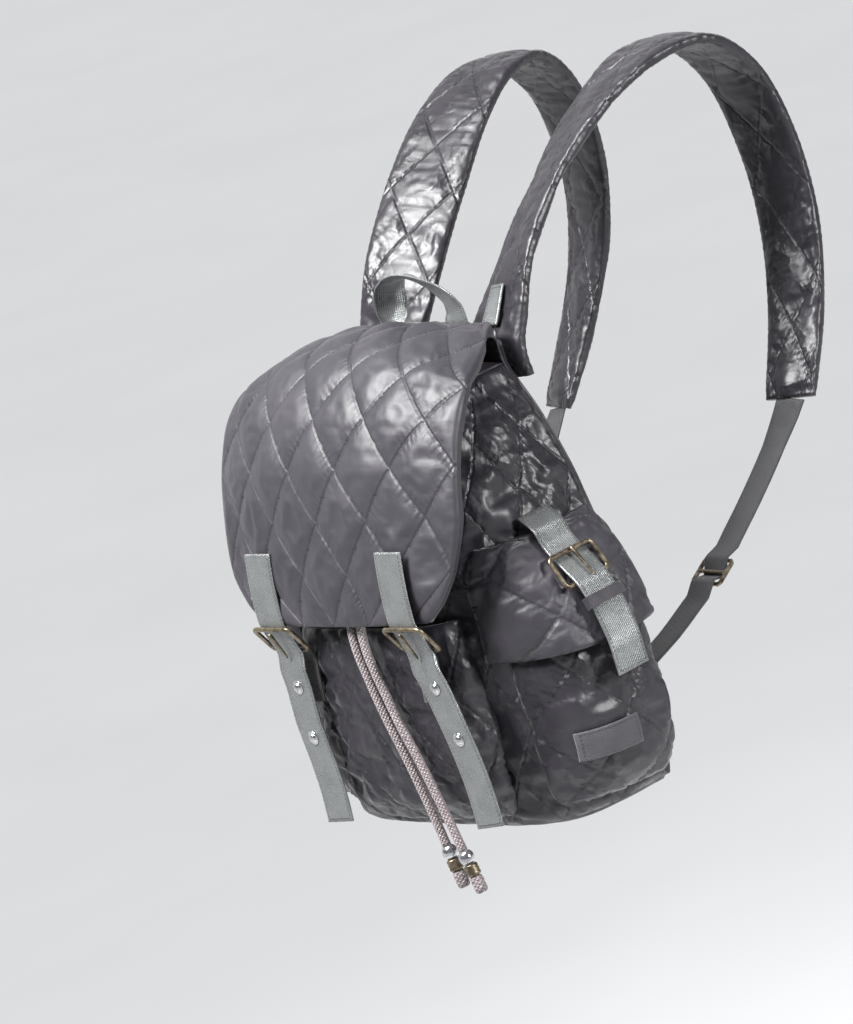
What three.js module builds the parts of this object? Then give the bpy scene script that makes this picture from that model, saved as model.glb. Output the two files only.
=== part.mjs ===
// Quilted puffer backpack with a tongue flap, three pockets, webbing straps, prong buckles
// and two drawcords. Millimetres, +Z up, -Y the front, +X the right as seen from the front.
// Heights are measured from the base and depths from the back face, then the whole pack is
// placed with its origin where it hangs from the shoulders.
import * as THREE from 'three';

// Gaps between sewn or seated pieces
const seamGap = 0.3;
const webEase = 0.65;
const barEase = 0.5;
const eyeletEase = 0.1;

// Main bag
const bodyWidth = 286;
const bodyHeight = 325;
const bodyDepth = 120;
const bodyCorner = 4.5;
const bodyWall = 7;
const backThickness = 10;
const baseThickness = 6;
const edgeRound = 2;

// Quilting: diamonds and how deep their seams sink
const diamondWidth = 57;
const diamondHeight = 83;
const bodyQuilt = 4;
const flapQuilt = 4;
const pocketQuilt = 3;

// Gathered collar round the mouth
const collarHeight = 20;
const collarWall = 5;
const mouthWidth = 120;
const mouthDepth = 56;
const mouthSetback = 22;
const gatherCount = 10;
const gatherDepth = 5;

// Front flap
const flapWidth = 272;
const flapThickness = 8;
const flapRise = 24;
const flapLowEdge = 181;
const flapStandOff = 14;
const flapDroop = 26;
const flapRootInset = 1;

// Front pocket
const frontPocketWidth = 184;
const frontPocketLow = 14;
const frontPocketHeight = 156;
const frontPocketReach = 24;
const frontPocketSeat = 0.7;

// Side pockets and their flaps
const sidePocketWidth = 96;
const sidePocketSetback = 60;
const sidePocketLow = 16;
const sidePocketHeight = 150;
const sidePocketReach = 28;
const pocketWall = 5;
const pocketCorner = 3;
const pocketFlapLow = 134;
const pocketFlapRise = 51;
const pocketFlapThickness = 5;
const pocketFlapGap = 2;

// Webbing, buckles and rivets
const webThickness = 1.8;
const flapWebWidth = 30;
const flapWebSpacing = 152;
const flapWebSewn = 55;
const flapWebTail = 132;
const buckleWidth = 45;
const buckleHeight = 28;
const buckleBar = 3.5;
const prongWidth = 3.2;
const rivetDiameter = 8;
const rivetHeight = 2.4;
const upperRivetShare = 0.2;
const lowerRivetShare = 0.5;
const tabWidth = 24;
const tabLength = 42;
const sideWebRise = 12;
const sideBuckleDrop = 28;
const sideWebTail = 92;
const keeperDrop = 12;
const keeperLength = 9;
const keeperWall = 1.6;
const keeperRoom = 0.8;

// Haul loop
const haulWidth = 25;
const haulSpacing = 97;
const haulHeight = 34;
const haulSewn = 12;

// Shoulder straps
const strapWidth = 66;
const strapThickness = 13;
const strapSpacing = 122;
const strapReach = 268;
const strapRise = 160;
const strapSpread = 72;
const strapSewn = 22;
const padGap = 3;
const strapWebWidth = 25;
const anchorHeight = 74;
const anchorSpacing = 232;
const anchorSewn = 14;
const anchorRise = 8;
const adjusterWidth = 34;
const adjusterHeight = 24;
const adjusterBar = 3;
const adjusterShare = 0.6;
const rootTabWidth = 20;
const rootTabLength = 44;
const rootTabStartShare = 0.13;

// Drawcords and what ends them
const cordDiameter = 7;
const eyeletDiameter = 15;
const eyeletThickness = 1.6;
const beadDiameter = 12;
const beadLength = 10;
const collarDiameter = 11;
const collarLength = 9;
const knobDiameter = 10;
const knobLength = 13;

// Blank woven label
const labelWidth = 42;
const labelHeight = 22;
const labelThickness = 1;
const labelLow = 52;
const labelSetback = 79;

// Section of the bag at shares of its height
const bodySections = [
  { up: 0, wide: 0.93, deep: 0.9 },
  { up: 0.06, wide: 0.975, deep: 0.965 },
  { up: 0.2, wide: 1, deep: 1 },
  { up: 0.48, wide: 0.99, deep: 1 },
  { up: 0.7, wide: 0.92, deep: 0.96 },
  { up: 0.87, wide: 0.79, deep: 0.87 },
  { up: 1, wide: 0.62, deep: 0.74 },
];

// Slack folds in the bag's upper sides: place round the bag from its centre front,
// height and size as shares of the half girth and the height, depth as a share of the wall
const slackFolds = [
  { round: 0.52, up: 0.84, wide: 0.05, tall: 0.035, deep: 1.1 },
  { round: 0.72, up: 0.76, wide: 0.09, tall: 0.03, deep: 0.9 },
  { round: 0.62, up: 0.66, wide: 0.04, tall: 0.06, deep: 0.8 },
];

// Flap seen from the side, from its crown to its low edge: how far out and how high
const flapProfile = [
  { out: 0.07, up: 0.955 },
  { out: 0.2, up: 0.995 },
  { out: 0.38, up: 1 },
  { out: 0.58, up: 0.955 },
  { out: 0.76, up: 0.81 },
  { out: 0.875, up: 0.615 },
  { out: 0.94, up: 0.375 },
  { out: 0.98, up: 0.17 },
  { out: 1, up: 0 },
];

// Flap seen from the front, along its profile: half width and how far its edges droop
const flapSpread = [
  { along: 0, wide: 0.54, droop: 0.02 },
  { along: 0.06, wide: 0.62, droop: 0.15 },
  { along: 0.14, wide: 0.78, droop: 0.6 },
  { along: 0.3, wide: 0.93, droop: 1 },
  { along: 0.5, wide: 1, droop: 1 },
  { along: 0.74, wide: 1, droop: 0.85 },
  { along: 0.87, wide: 0.94, droop: 0.6 },
  { along: 0.95, wide: 0.83, droop: 0.45 },
  { along: 1, wide: 0.7, droop: 0.35 },
];

// Pockets from their low edge to their top: width and reach
const pocketSections = [
  { up: 0, wide: 0.84, out: 0 },
  { up: 0.015, wide: 0.87, out: 0.3 },
  { up: 0.06, wide: 0.92, out: 0.62 },
  { up: 0.16, wide: 0.97, out: 0.9 },
  { up: 0.36, wide: 1, out: 1 },
  { up: 0.62, wide: 1, out: 0.98 },
  { up: 0.82, wide: 0.98, out: 0.87 },
  { up: 1, wide: 0.95, out: 0.7 },
];

// Pocket flaps from their seam down to their low edge
const pocketFlapSections = [
  { down: 0, wide: 0.8, out: 0.03 },
  { down: 0.08, wide: 0.88, out: 0.16 },
  { down: 0.25, wide: 0.98, out: 0.42 },
  { down: 0.5, wide: 1, out: 0.72 },
  { down: 0.75, wide: 1.01, out: 0.93 },
  { down: 1, wide: 1.02, out: 1.05 },
];

// Flap strap tails below their buckles, as shares of their length: how far out and down they
// hang, and how far the left and the right one drift to the right
const tailRoute = [
  { out: 0.015, down: 0.06, left: 0, right: 0.02 },
  { out: 0.02, down: 0.2, left: 0.01, right: 0.07 },
  { out: 0.03, down: 0.4, left: 0.01, right: 0.13 },
  { out: 0.03, down: 0.62, left: 0.03, right: 0.17 },
  { out: 0.04, down: 0.82, left: 0.05, right: 0.2 },
  { out: 0.06, down: 0.99, left: 0.06, right: 0.22 },
];

// Where the buckle's tab is sewn to the pocket, from its low end up, as shares of its length
const tabShares = [1, 0.714, 0.428, 0.214];

// Haul loop from its left foot to its right: place across, height, lean back and turn
const haulRoute = [
  { across: -1, up: 0.12, back: 0, turn: 25 },
  { across: -0.97, up: 0.42, back: 0.02, turn: 50 },
  { across: -0.88, up: 0.72, back: 0.02, turn: 70 },
  { across: -0.66, up: 0.95, back: 0, turn: 84 },
  { across: -0.3, up: 1, back: -0.04, turn: 70 },
  { across: 0.1, up: 0.92, back: -0.08, turn: 52 },
  { across: 0.5, up: 0.74, back: -0.06, turn: 40 },
  { across: 0.82, up: 0.48, back: 0, turn: 24 },
  { across: 0.97, up: 0.18, back: 0.02, turn: 8 },
];

// Shoulder strap from its root over the shoulder to the end of its pad: shares of the
// spread, reach and rise, with the turn of its width about the vertical in degrees
const strapRoute = [
  { out: 0.02, back: 0.06, up: 0.14, turn: -12, wide: 1 },
  { out: 0.06, back: 0.16, up: 0.36, turn: -28, wide: 1 },
  { out: 0.14, back: 0.33, up: 0.64, turn: -34, wide: 1 },
  { out: 0.28, back: 0.52, up: 0.87, turn: -26, wide: 1 },
  { out: 0.4, back: 0.7, up: 0.99, turn: -12, wide: 0.99 },
  { out: 0.5, back: 0.85, up: 0.97, turn: -4, wide: 0.97 },
  { out: 0.56, back: 0.96, up: 0.76, turn: 2, wide: 0.93 },
  { out: 0.63, back: 1, up: 0.4, turn: 6, wide: 0.88 },
  { out: 0.74, back: 0.97, up: 0.02, turn: 10, wide: 0.82 },
  { out: 0.88, back: 0.87, up: -0.36, turn: 14, wide: 0.74 },
  { out: 1, back: 0.73, up: -0.72, turn: 18, wide: 0.64 },
];

// Webbing from the pad's end to its anchor: shares of the way across, forward and down
const strapWebRoute = [
  { across: 0.1, forward: 0.16, down: 0.22 },
  { across: 0.25, forward: 0.4, down: 0.5 },
  { across: 0.45, forward: 0.64, down: 0.74 },
  { across: 0.68, forward: 0.84, down: 0.9 },
  { across: 0.88, forward: 0.95, down: 0.97 },
];

// How the webbing weaves through the adjuster: shares of half its height and of the swing
const adjusterWeave = [
  { along: -1.9, level: 0 },
  { along: -1.02, level: -1 },
  { along: -0.72, level: -1 },
  { along: -0.15, level: 1 },
  { along: 0.15, level: 1 },
  { along: 0.72, level: -1 },
  { along: 1.02, level: -1 },
  { along: 1.9, level: 0 },
];

// Drawcord routes, from the eyelets over the bag's front and down past the base
const cordRoutes = {
  left: [
    [-8, -94, 338], [-8, -104, 334], [-7, -112, 321], [-6, -120, 303], [-4, -126, 281],
    [-2, -131, 257], [0, -135, 233], [2, -140, 211], [4, -146, 192], [6, -151.5, 177],
    [9, -155, 160], [13, -156, 142], [17, -156.5, 124], [23, -157, 102], [30, -157, 78],
    [37, -157.5, 52], [43, -158, 28], [47, -158.5, 10],
  ],
  right: [
    [8, -94, 338], [8, -104, 334], [8, -112, 321], [9, -120, 303], [10, -126, 281],
    [12, -131, 257], [13, -135, 233], [14, -140, 211], [15, -146, 192], [17, -151.5, 177],
    [20, -155, 160], [24, -156, 142], [29, -156.5, 124], [35, -157, 102], [43, -157, 78],
    [51, -157.5, 52], [58, -158, 28], [64, -158.5, 6],
  ],
};

const nylon = { color: 0x3f3c46, roughness: 0.42, metalness: 0 };
const nylonDark = { color: 0x2c2a31, roughness: 0.5, metalness: 0 };
const silverWeb = { color: 0xa5a9a8, roughness: 0.45, metalness: 0 };
const blackWeb = { color: 0x26262a, roughness: 0.6, metalness: 0 };
const antiqueMetal = { color: 0x6e6452, roughness: 0.35, metalness: 1 };
const brightMetal = { color: 0xc4c6c9, roughness: 0.2, metalness: 1 };
const cordCotton = { color: 0x8c7d7e, roughness: 0.8, metalness: 0 };
const labelCloth = { color: 0x5a5960, roughness: 0.7, metalness: 0 };

const pack = new THREE.Group();

function addPiece(name, geometry, finish) {
  const mesh = new THREE.Mesh(geometry, new THREE.MeshStandardMaterial(finish));
  mesh.name = name;
  pack.add(mesh);
  return mesh;
}

function point(x, y, z) {
  return new THREE.Vector3(x, y, z);
}

function blend(a, b, share) {
  return a + (b - a) * share;
}

// A column of a table as a smooth curve of its key column, without overshoot
function readTable(table, key, column, at) {
  const slope = (i) => (table[i + 1][column] - table[i][column]) / (table[i + 1][key] - table[i][key]);
  const tangent = (i) => {
    if (i === 0) return slope(0);
    if (i === table.length - 1) return slope(i - 1);
    const before = slope(i - 1);
    const after = slope(i);
    return before * after <= 0 ? 0 : (2 * before * after) / (before + after);
  };
  let row = 0;
  while (row < table.length - 2 && at > table[row + 1][key]) row += 1;
  const span = table[row + 1][key] - table[row][key];
  const t = THREE.MathUtils.clamp((at - table[row][key]) / span, 0, 1);
  const start = table[row][column];
  const end = table[row + 1][column];
  const rise = (1 + 2 * t) * (1 - t) * (1 - t) * start + t * t * (3 - 2 * t) * end;
  return rise + span * t * (1 - t) * ((1 - t) * tangent(row) - t * tangent(row + 1));
}

// Closed mesh from index triples, turned so that its faces point out
function solidFrom(points, triangles) {
  let volume = 0;
  for (const [a, b, c] of triangles) {
    volume += points[a].dot(point(0, 0, 0).crossVectors(points[b], points[c]));
  }
  const index = triangles.flatMap(([a, b, c]) => (volume > 0 ? [a, b, c] : [a, c, b]));
  const geometry = new THREE.BufferGeometry().setFromPoints(points);
  geometry.setIndex(index);
  geometry.computeVertexNormals();
  return geometry;
}

// Sheet of cloth with a thickness: two grids of points joined along their rims.
// Each cell is cut along the diagonal whose ends have the lower puff, so seams stay sharp.
function sheetSolid(outer, inner, wraps = false, puff = null) {
  const rows = outer.length;
  const columns = outer[0].length;
  const points = [...outer.flat(), ...inner.flat()];
  const skin = (j, i) => j * columns + (i % columns);
  const lining = (j, i) => rows * columns + skin(j, i);
  const cells = wraps ? columns : columns - 1;
  const triangles = [];
  const quad = (a, b, c, d) => triangles.push([a, b, c], [a, c, d]);
  for (let j = 0; j < rows - 1; j += 1) {
    for (let i = 0; i < cells; i += 1) {
      const next = (i + 1) % columns;
      const rising = puff ? puff[j][i] + puff[j + 1][next] : 0;
      const falling = puff ? puff[j][next] + puff[j + 1][i] : 0;
      if (rising <= falling) {
        quad(skin(j, i), skin(j, i + 1), skin(j + 1, i + 1), skin(j + 1, i));
        quad(lining(j + 1, i + 1), lining(j, i + 1), lining(j, i), lining(j + 1, i));
      } else {
        quad(skin(j + 1, i), skin(j, i), skin(j, i + 1), skin(j + 1, i + 1));
        quad(lining(j, i + 1), lining(j, i), lining(j + 1, i), lining(j + 1, i + 1));
      }
    }
  }
  const top = rows - 1;
  for (let i = 0; i < cells; i += 1) {
    quad(skin(0, i + 1), skin(0, i), lining(0, i), lining(0, i + 1));
    quad(skin(top, i), skin(top, i + 1), lining(top, i + 1), lining(top, i));
  }
  if (!wraps) {
    for (let j = 0; j < top; j += 1) {
      quad(skin(j, 0), skin(j + 1, 0), lining(j + 1, 0), lining(j, 0));
      quad(skin(j + 1, cells), skin(j, cells), lining(j, cells), lining(j + 1, cells));
    }
  }
  return solidFrom(points, triangles);
}

// Solid through a row of closed sections, each with the same number of points
function loftSolid(sections) {
  const sides = sections[0].length;
  const points = sections.flat();
  const triangles = [];
  for (let j = 0; j < sections.length - 1; j += 1) {
    for (let i = 0; i < sides; i += 1) {
      const a = j * sides + i;
      const b = j * sides + ((i + 1) % sides);
      triangles.push([a, b, b + sides], [a, b + sides, a + sides]);
    }
  }
  const last = (sections.length - 1) * sides;
  for (let i = 1; i < sides - 1; i += 1) {
    triangles.push([0, i + 1, i], [last, last + i, last + i + 1]);
  }
  return solidFrom(points, triangles);
}

function mirrored(geometry) {
  const copy = geometry.clone();
  copy.scale(-1, 1, 1);
  const index = copy.getIndex();
  if (!index) {
    const place = copy.getAttribute('position');
    for (let i = 0; i < place.count; i += 3) {
      const b = point(0, 0, 0).fromBufferAttribute(place, i + 1);
      const c = point(0, 0, 0).fromBufferAttribute(place, i + 2);
      place.setXYZ(i + 1, c.x, c.y, c.z);
      place.setXYZ(i + 2, b.x, b.y, b.z);
    }
    return copy;
  }
  for (let i = 0; i < index.count; i += 3) {
    const b = index.getX(i + 1);
    index.setX(i + 1, index.getX(i + 2));
    index.setX(i + 2, b);
  }
  return copy;
}

// The same piece on both sides of the bag
function addPair(name, geometry, finish) {
  addPiece(`${name}_right`, geometry, finish);
  addPiece(`${name}_left`, mirrored(geometry), finish);
}

// Evenly spaced points along a polyline of two-number places
function evenly(path, count) {
  const reached = [0];
  for (let i = 1; i < path.length; i += 1) {
    const step = Math.hypot(path[i][0] - path[i - 1][0], path[i][1] - path[i - 1][1]);
    reached.push(reached[i - 1] + step);
  }
  const whole = reached[reached.length - 1];
  const places = [];
  let k = 1;
  for (let i = 0; i <= count; i += 1) {
    const target = (whole * i) / count;
    while (k < path.length - 1 && reached[k] < target) k += 1;
    const share = (target - reached[k - 1]) / (reached[k] - reached[k - 1]);
    places.push([blend(path[k - 1][0], path[k][0], share), blend(path[k - 1][1], path[k][1], share)]);
  }
  return places;
}

// Half of a rounded rectangle (a superellipse) from one side round its crown to the other,
// as evenly spaced [across, out] places, stopping at a height above its base line
function archPlaces(halfWidth, reach, power, count, stop) {
  const foot = halfWidth * Math.pow(1 - Math.pow(stop / reach, power), 1 / power);
  const first = Math.atan2(stop, foot);
  const fine = 160;
  const path = [];
  for (let i = 0; i <= fine; i += 1) {
    const angle = blend(first, Math.PI - first, i / fine);
    const c = Math.abs(Math.cos(angle) / halfWidth);
    const s = Math.abs(Math.sin(angle) / reach);
    const radius = Math.pow(Math.pow(c, power) + Math.pow(s, power), -1 / power);
    path.push([radius * Math.cos(angle), radius * Math.sin(angle)]);
  }
  path[0][1] = stop;
  path[fine][1] = stop;
  return evenly(path, count);
}

// Quilted diamonds: 0 along the seams and 1 at the middle of each diamond
function diamondPuff(across, along) {
  const a = Math.cos(Math.PI * (across / diamondWidth + along / diamondHeight));
  const b = Math.cos(Math.PI * (across / diamondWidth - along / diamondHeight));
  return Math.sqrt(Math.abs(a * b));
}

// Number of quilting steps in a length, four to a diamond
function quiltSteps(length, diamond) {
  return 4 * Math.max(1, Math.round(length / diamond));
}

// The bag's smooth outside, which pockets and flaps are laid on
function bodyHalf(z) {
  return (bodyWidth / 2) * readTable(bodySections, 'up', 'wide', z / bodyHeight);
}

function bodyReach(z) {
  return bodyDepth * readTable(bodySections, 'up', 'deep', z / bodyHeight);
}

function bodyFront(x, z) {
  const share = Math.min(1, Math.abs(x / bodyHalf(z)));
  return -bodyReach(z) * Math.pow(1 - Math.pow(share, bodyCorner), 1 / bodyCorner);
}

function bodySide(y, z) {
  const share = Math.min(1, Math.abs(y / bodyReach(z)));
  return bodyHalf(z) * Math.pow(1 - Math.pow(share, bodyCorner), 1 / bodyCorner);
}

const wallRear = backThickness + seamGap;
const collarTop = bodyHeight + collarHeight;

function slackDepth(round, up) {
  let depth = 0;
  for (const fold of slackFolds) {
    const a = (Math.abs(round) - fold.round) / fold.wide;
    const b = (up - fold.up) / fold.tall;
    depth += fold.deep * Math.exp(-(a * a + b * b));
  }
  return depth * bodyWall;
}

// Outline of the closed D shape of the bag at a height, inset and a little in front of the back
function bagOutline(z, inset, rear, count) {
  const half = bodyHalf(z) - inset;
  const arch = archPlaces(half, bodyReach(z) - inset, bodyCorner, 80, rear);
  const places = arch.map(([across, out]) => [across, -out]);
  const loop = [[0, -rear], ...places, [0, -rear]];
  return evenly(loop, count);
}

function makeBodyWall() {
  const girth = bodyWidth + 2 * (bodyDepth - 2 * wallRear);
  const columns = quiltSteps(girth, diamondWidth);
  const rows = quiltSteps(bodyHeight, diamondHeight);
  const outer = [];
  const inner = [];
  const puffs = [];
  for (let j = 0; j <= rows; j += 1) {
    const z = blend(baseThickness + seamGap, bodyHeight, j / rows);
    const skin = archPlaces(bodyHalf(z), bodyReach(z), bodyCorner, columns, wallRear);
    const inside = { half: bodyHalf(z) - bodyWall, reach: bodyReach(z) - bodyWall };
    const lining = archPlaces(inside.half, inside.reach, bodyCorner, columns, wallRear);
    const outerRow = [];
    const innerRow = [];
    const puffRow = [];
    for (let i = 0; i <= columns; i += 1) {
      const round = (2 * i) / columns - 1;
      const before = skin[Math.max(0, i - 1)];
      const after = skin[Math.min(columns, i + 1)];
      const tangent = new THREE.Vector2(after[0] - before[0], before[1] - after[1]).normalize();
      const edge = i === 0 || i === columns || j === 0 || j === rows;
      const puff = diamondPuff((i * diamondWidth) / 4, ((j + 2) * diamondHeight) / 4);
      const slack = edge ? 0 : slackDepth(round, j / rows);
      const dent = slack + (edge ? bodyQuilt / 2 : bodyQuilt * (1 - puff));
      const inward = i === 0 || i === columns ? [-Math.sign(skin[i][0]), 0] : [tangent.y, -tangent.x];
      outerRow.push(point(skin[i][0] + inward[0] * dent, -skin[i][1] + inward[1] * dent, z));
      innerRow.push(point(lining[i][0] + inward[0] * slack, -lining[i][1] + inward[1] * slack, z));
      puffRow.push(puff - slack);
    }
    outer.push(outerRow);
    inner.push(innerRow);
    puffs.push(puffRow);
  }
  return sheetSolid(outer, inner, false, puffs);
}

// Flat plate from an outline, with rounded rims, its lower face at z = 0
function plate(outline, thickness) {
  const shape = new THREE.Shape(outline.map(([a, b]) => new THREE.Vector2(a, b)));
  const geometry = new THREE.ExtrudeGeometry(shape, {
    depth: thickness - 2 * edgeRound,
    bevelEnabled: true,
    bevelSize: edgeRound,
    bevelOffset: -edgeRound,
    bevelThickness: edgeRound,
    bevelSegments: 1,
    steps: 1,
  });
  geometry.translate(0, 0, edgeRound);
  return geometry;
}

function makeBasePanel() {
  const outline = bagOutline(0, 0, wallRear, 32).slice(0, -1);
  return plate(outline, baseThickness);
}

function makeBackPanel() {
  const levels = 11;
  const sides = [];
  for (let j = 0; j <= levels; j += 1) {
    const z = blend(0, collarTop, j / levels);
    sides.push([bodyHalf(Math.min(z, bodyHeight)), z]);
  }
  const outline = [...sides, ...sides.map(([x, z]) => [-x, z]).reverse()];
  const geometry = plate(outline, backThickness);
  geometry.rotateX(Math.PI / 2);
  return geometry;
}

// Mouth collar: the bag's D shape drawn in to a small oval by gathers
function makeCollar() {
  const columns = gatherCount * 4;
  const rows = 3;
  const rings = (inset) => {
    const low = bagOutline(bodyHeight, inset, wallRear + inset, columns);
    const oval = [];
    for (let i = 0; i <= 160; i += 1) {
      const angle = Math.PI / 2 - (2 * Math.PI * i) / 160;
      const across = (mouthWidth / 2 - inset) * Math.cos(angle);
      oval.push([across, (mouthDepth / 2 - inset) * Math.sin(angle) - mouthSetback - mouthDepth / 2]);
    }
    return { low, high: evenly(oval, columns) };
  };
  const skin = rings(0);
  const lining = rings(collarWall);
  const layer = (pair, sink) => {
    const grid = [];
    for (let j = 0; j <= rows; j += 1) {
      const up = j / rows;
      const z = blend(bodyHeight + seamGap, collarTop, up) - sink * Math.sin(Math.PI * up);
      const row = [];
      for (let i = 0; i < columns; i += 1) {
        const draw = Math.sin((Math.PI / 2) * up);
        const x = blend(pair.low[i][0], pair.high[i][0], draw);
        const y = blend(pair.low[i][1], pair.high[i][1], draw);
        const fold = (1 - Math.cos((2 * Math.PI * gatherCount * i) / columns)) / 2;
        const middle = -mouthSetback - mouthDepth / 2;
        const distance = Math.hypot(x, y - middle);
        const keep = 1 - (gatherDepth * fold * up) / distance;
        row.push(point(x * keep, middle + (y - middle) * keep, z));
      }
      grid.push(row);
    }
    return grid;
  };
  return sheetSolid(layer(skin, 0), layer(lining, collarWall / 2), true);
}

// Flap, laid along a curve in the middle plane and drooping at its side edges
const flapReach = bodyDepth + frontPocketReach + pocketWall + flapStandOff;
const flapCrown = collarTop + flapRise;

function flapHeight(share) {
  return blend(flapLowEdge, flapCrown, share);
}

const flapRoot = point(0, -flapRootInset, collarTop + seamGap);
const flapCurve = new THREE.CatmullRomCurve3(
  [
    flapRoot,
    flapRoot.clone().add(point(0, -0.2, haulSewn / 2)),
    flapRoot.clone().add(point(0, -0.8, haulSewn)),
    ...flapProfile.map((row) => point(0, -row.out * flapReach, flapHeight(row.up))),
  ],
  false,
  'centripetal',
);
flapCurve.arcLengthDivisions = 400;

function flapFrame(along) {
  const place = flapCurve.getPointAt(along);
  const tangent = flapCurve.getTangentAt(along);
  return { place, tangent, normal: point(0, tangent.z, -tangent.y) };
}

// A place on the flap's outside: share across from -1 to 1, share along, depth below it
function flapPlace(across, along, below) {
  const { place, normal } = flapFrame(along);
  const half = (flapWidth / 2) * readTable(flapSpread, 'along', 'wide', along);
  const droop = flapDroop * readTable(flapSpread, 'along', 'droop', along);
  const sink = droop * Math.pow(Math.abs(across), 2.2) + below;
  return place.clone().addScaledVector(normal, -sink).add(point(across * half, 0, 0));
}

function makeFlap() {
  const columns = quiltSteps(flapWidth, diamondWidth);
  const rows = quiltSteps(flapCurve.getLength(), diamondHeight);
  const outer = [];
  const inner = [];
  const puffs = [];
  for (let j = 0; j <= rows; j += 1) {
    const outerRow = [];
    const innerRow = [];
    const puffRow = [];
    for (let i = 0; i <= columns; i += 1) {
      const across = (2 * i) / columns - 1;
      const along = j / rows;
      const edge = i === 0 || i === columns || j === 0 || j === rows;
      const puff = diamondPuff(((i - columns / 2) * diamondWidth) / 4, ((j + 2) * diamondHeight) / 4);
      const dent = edge ? flapQuilt / 2 : flapQuilt * (1 - puff);
      outerRow.push(flapPlace(across, along, j === 0 ? 0 : dent));
      innerRow.push(flapPlace(across, along, flapThickness));
      puffRow.push(puff);
    }
    outer.push(outerRow);
    inner.push(innerRow);
    puffs.push(puffRow);
  }
  return sheetSolid(outer, inner, false, puffs);
}

// Where a height above the base lies on the flap's front, as a share along it
function flapAlongAt(z) {
  let low = 0.4;
  let high = 1;
  for (let i = 0; i < 40; i += 1) {
    const middle = (low + high) / 2;
    if (flapFrame(middle).place.z > z) low = middle;
    else high = middle;
  }
  return (low + high) / 2;
}

// Open-topped pocket: an arch of cloth on the bag, from its rounded low edge to its top.
// layOn(across, out, z) puts a place on the bag's outside.
function makePocket(width, low, height, reach, layOn) {
  const columns = quiltSteps(width + reach, diamondWidth);
  const rows = quiltSteps(height, diamondHeight);
  const outer = [];
  const inner = [];
  const puffs = [];
  for (let j = 0; j <= rows; j += 1) {
    const up = Math.pow(j / rows, 1.25);
    const wide = readTable(pocketSections, 'up', 'wide', up);
    const out = Math.max(0.004, readTable(pocketSections, 'up', 'out', up));
    const half = (width / 2) * wide;
    const skin = archPlaces(half, (reach + pocketWall) * out, pocketCorner, columns, 0);
    const lining = archPlaces(half - pocketWall, reach * out, pocketCorner, columns, 0);
    const skinHeight = low + up * height;
    const liningHeight = low + pocketWall + up * (height - pocketWall);
    const outerRow = [];
    const innerRow = [];
    const puffRow = [];
    for (let i = 0; i <= columns; i += 1) {
      const edge = i === 0 || i === columns || j === 0 || j === rows;
      const puff = diamondPuff((i * diamondWidth) / 4, ((j + 2) * diamondHeight) / 4);
      const dent = edge ? 0 : pocketQuilt * (1 - puff) * out;
      const keep = 1 - dent / Math.hypot(skin[i][0], skin[i][1]);
      outerRow.push(layOn(skin[i][0] * keep, seamGap + skin[i][1] * keep, skinHeight));
      innerRow.push(layOn(lining[i][0], seamGap + lining[i][1], liningHeight));
      puffRow.push(edge ? 0 : puff);
    }
    outer.push(outerRow);
    inner.push(innerRow);
    puffs.push(puffRow);
  }
  return sheetSolid(outer, inner, false, puffs);
}

function onFront(across, out, z) {
  return point(across, bodyFront(across, z) + frontPocketSeat - out, z);
}

function onSide(across, out, z) {
  const y = -sidePocketSetback + across;
  return point(bodySide(y, z) + out, y, z);
}

// The front pocket's outside at a place on the bag's front
function frontFace(x, z) {
  const up = (z - frontPocketLow) / frontPocketHeight;
  const half = (frontPocketWidth / 2) * readTable(pocketSections, 'up', 'wide', up);
  const reach = (frontPocketReach + pocketWall) * readTable(pocketSections, 'up', 'out', up);
  const arch = reach * Math.pow(1 - Math.pow(Math.abs(x) / half, pocketCorner), 1 / pocketCorner);
  return bodyFront(x, z) + frontPocketSeat - seamGap - arch;
}

// Pocket flap: half a cap over the pocket's top, sewn to the bag above it
const sidePocketTop = sidePocketLow + sidePocketHeight;
const pocketFlapTop = sidePocketTop + pocketFlapRise;
const pocketFlapReach = sidePocketReach + pocketWall + pocketFlapGap;

function pocketFlapOut(down) {
  return readTable(pocketFlapSections, 'down', 'out', down);
}

function makePocketFlap() {
  const columns = 10;
  const rows = 7;
  const lift = pocketFlapThickness + pocketFlapGap;
  const outer = [];
  const inner = [];
  for (let j = 0; j <= rows; j += 1) {
    const down = Math.pow(j / rows, 1.3);
    const wide = readTable(pocketFlapSections, 'down', 'wide', down);
    const out = pocketFlapOut(down);
    const half = (sidePocketWidth / 2 + pocketFlapGap) * wide;
    const thick = pocketFlapThickness;
    const reach = Math.max(thick * 0.9, pocketFlapReach * out);
    const stop = Math.min(lift, reach * 0.55);
    const skin = archPlaces(half + thick, reach + thick, pocketCorner, columns, stop);
    const lining = archPlaces(half, reach, pocketCorner, columns, stop);
    const skinHeight = blend(pocketFlapTop, pocketFlapLow, down);
    const liningHeight = blend(pocketFlapTop - thick, pocketFlapLow, down);
    const outerRow = [];
    const innerRow = [];
    for (let i = 0; i <= columns; i += 1) {
      const flat = j === 0 ? 0 : 1;
      outerRow.push(onSide(skin[i][0], seamGap + skin[i][1] * flat, skinHeight));
      innerRow.push(onSide(lining[i][0], seamGap + lining[i][1] * flat, liningHeight));
    }
    outer.push(outerRow);
    inner.push(innerRow);
  }
  return sheetSolid(outer, inner);
}

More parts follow.
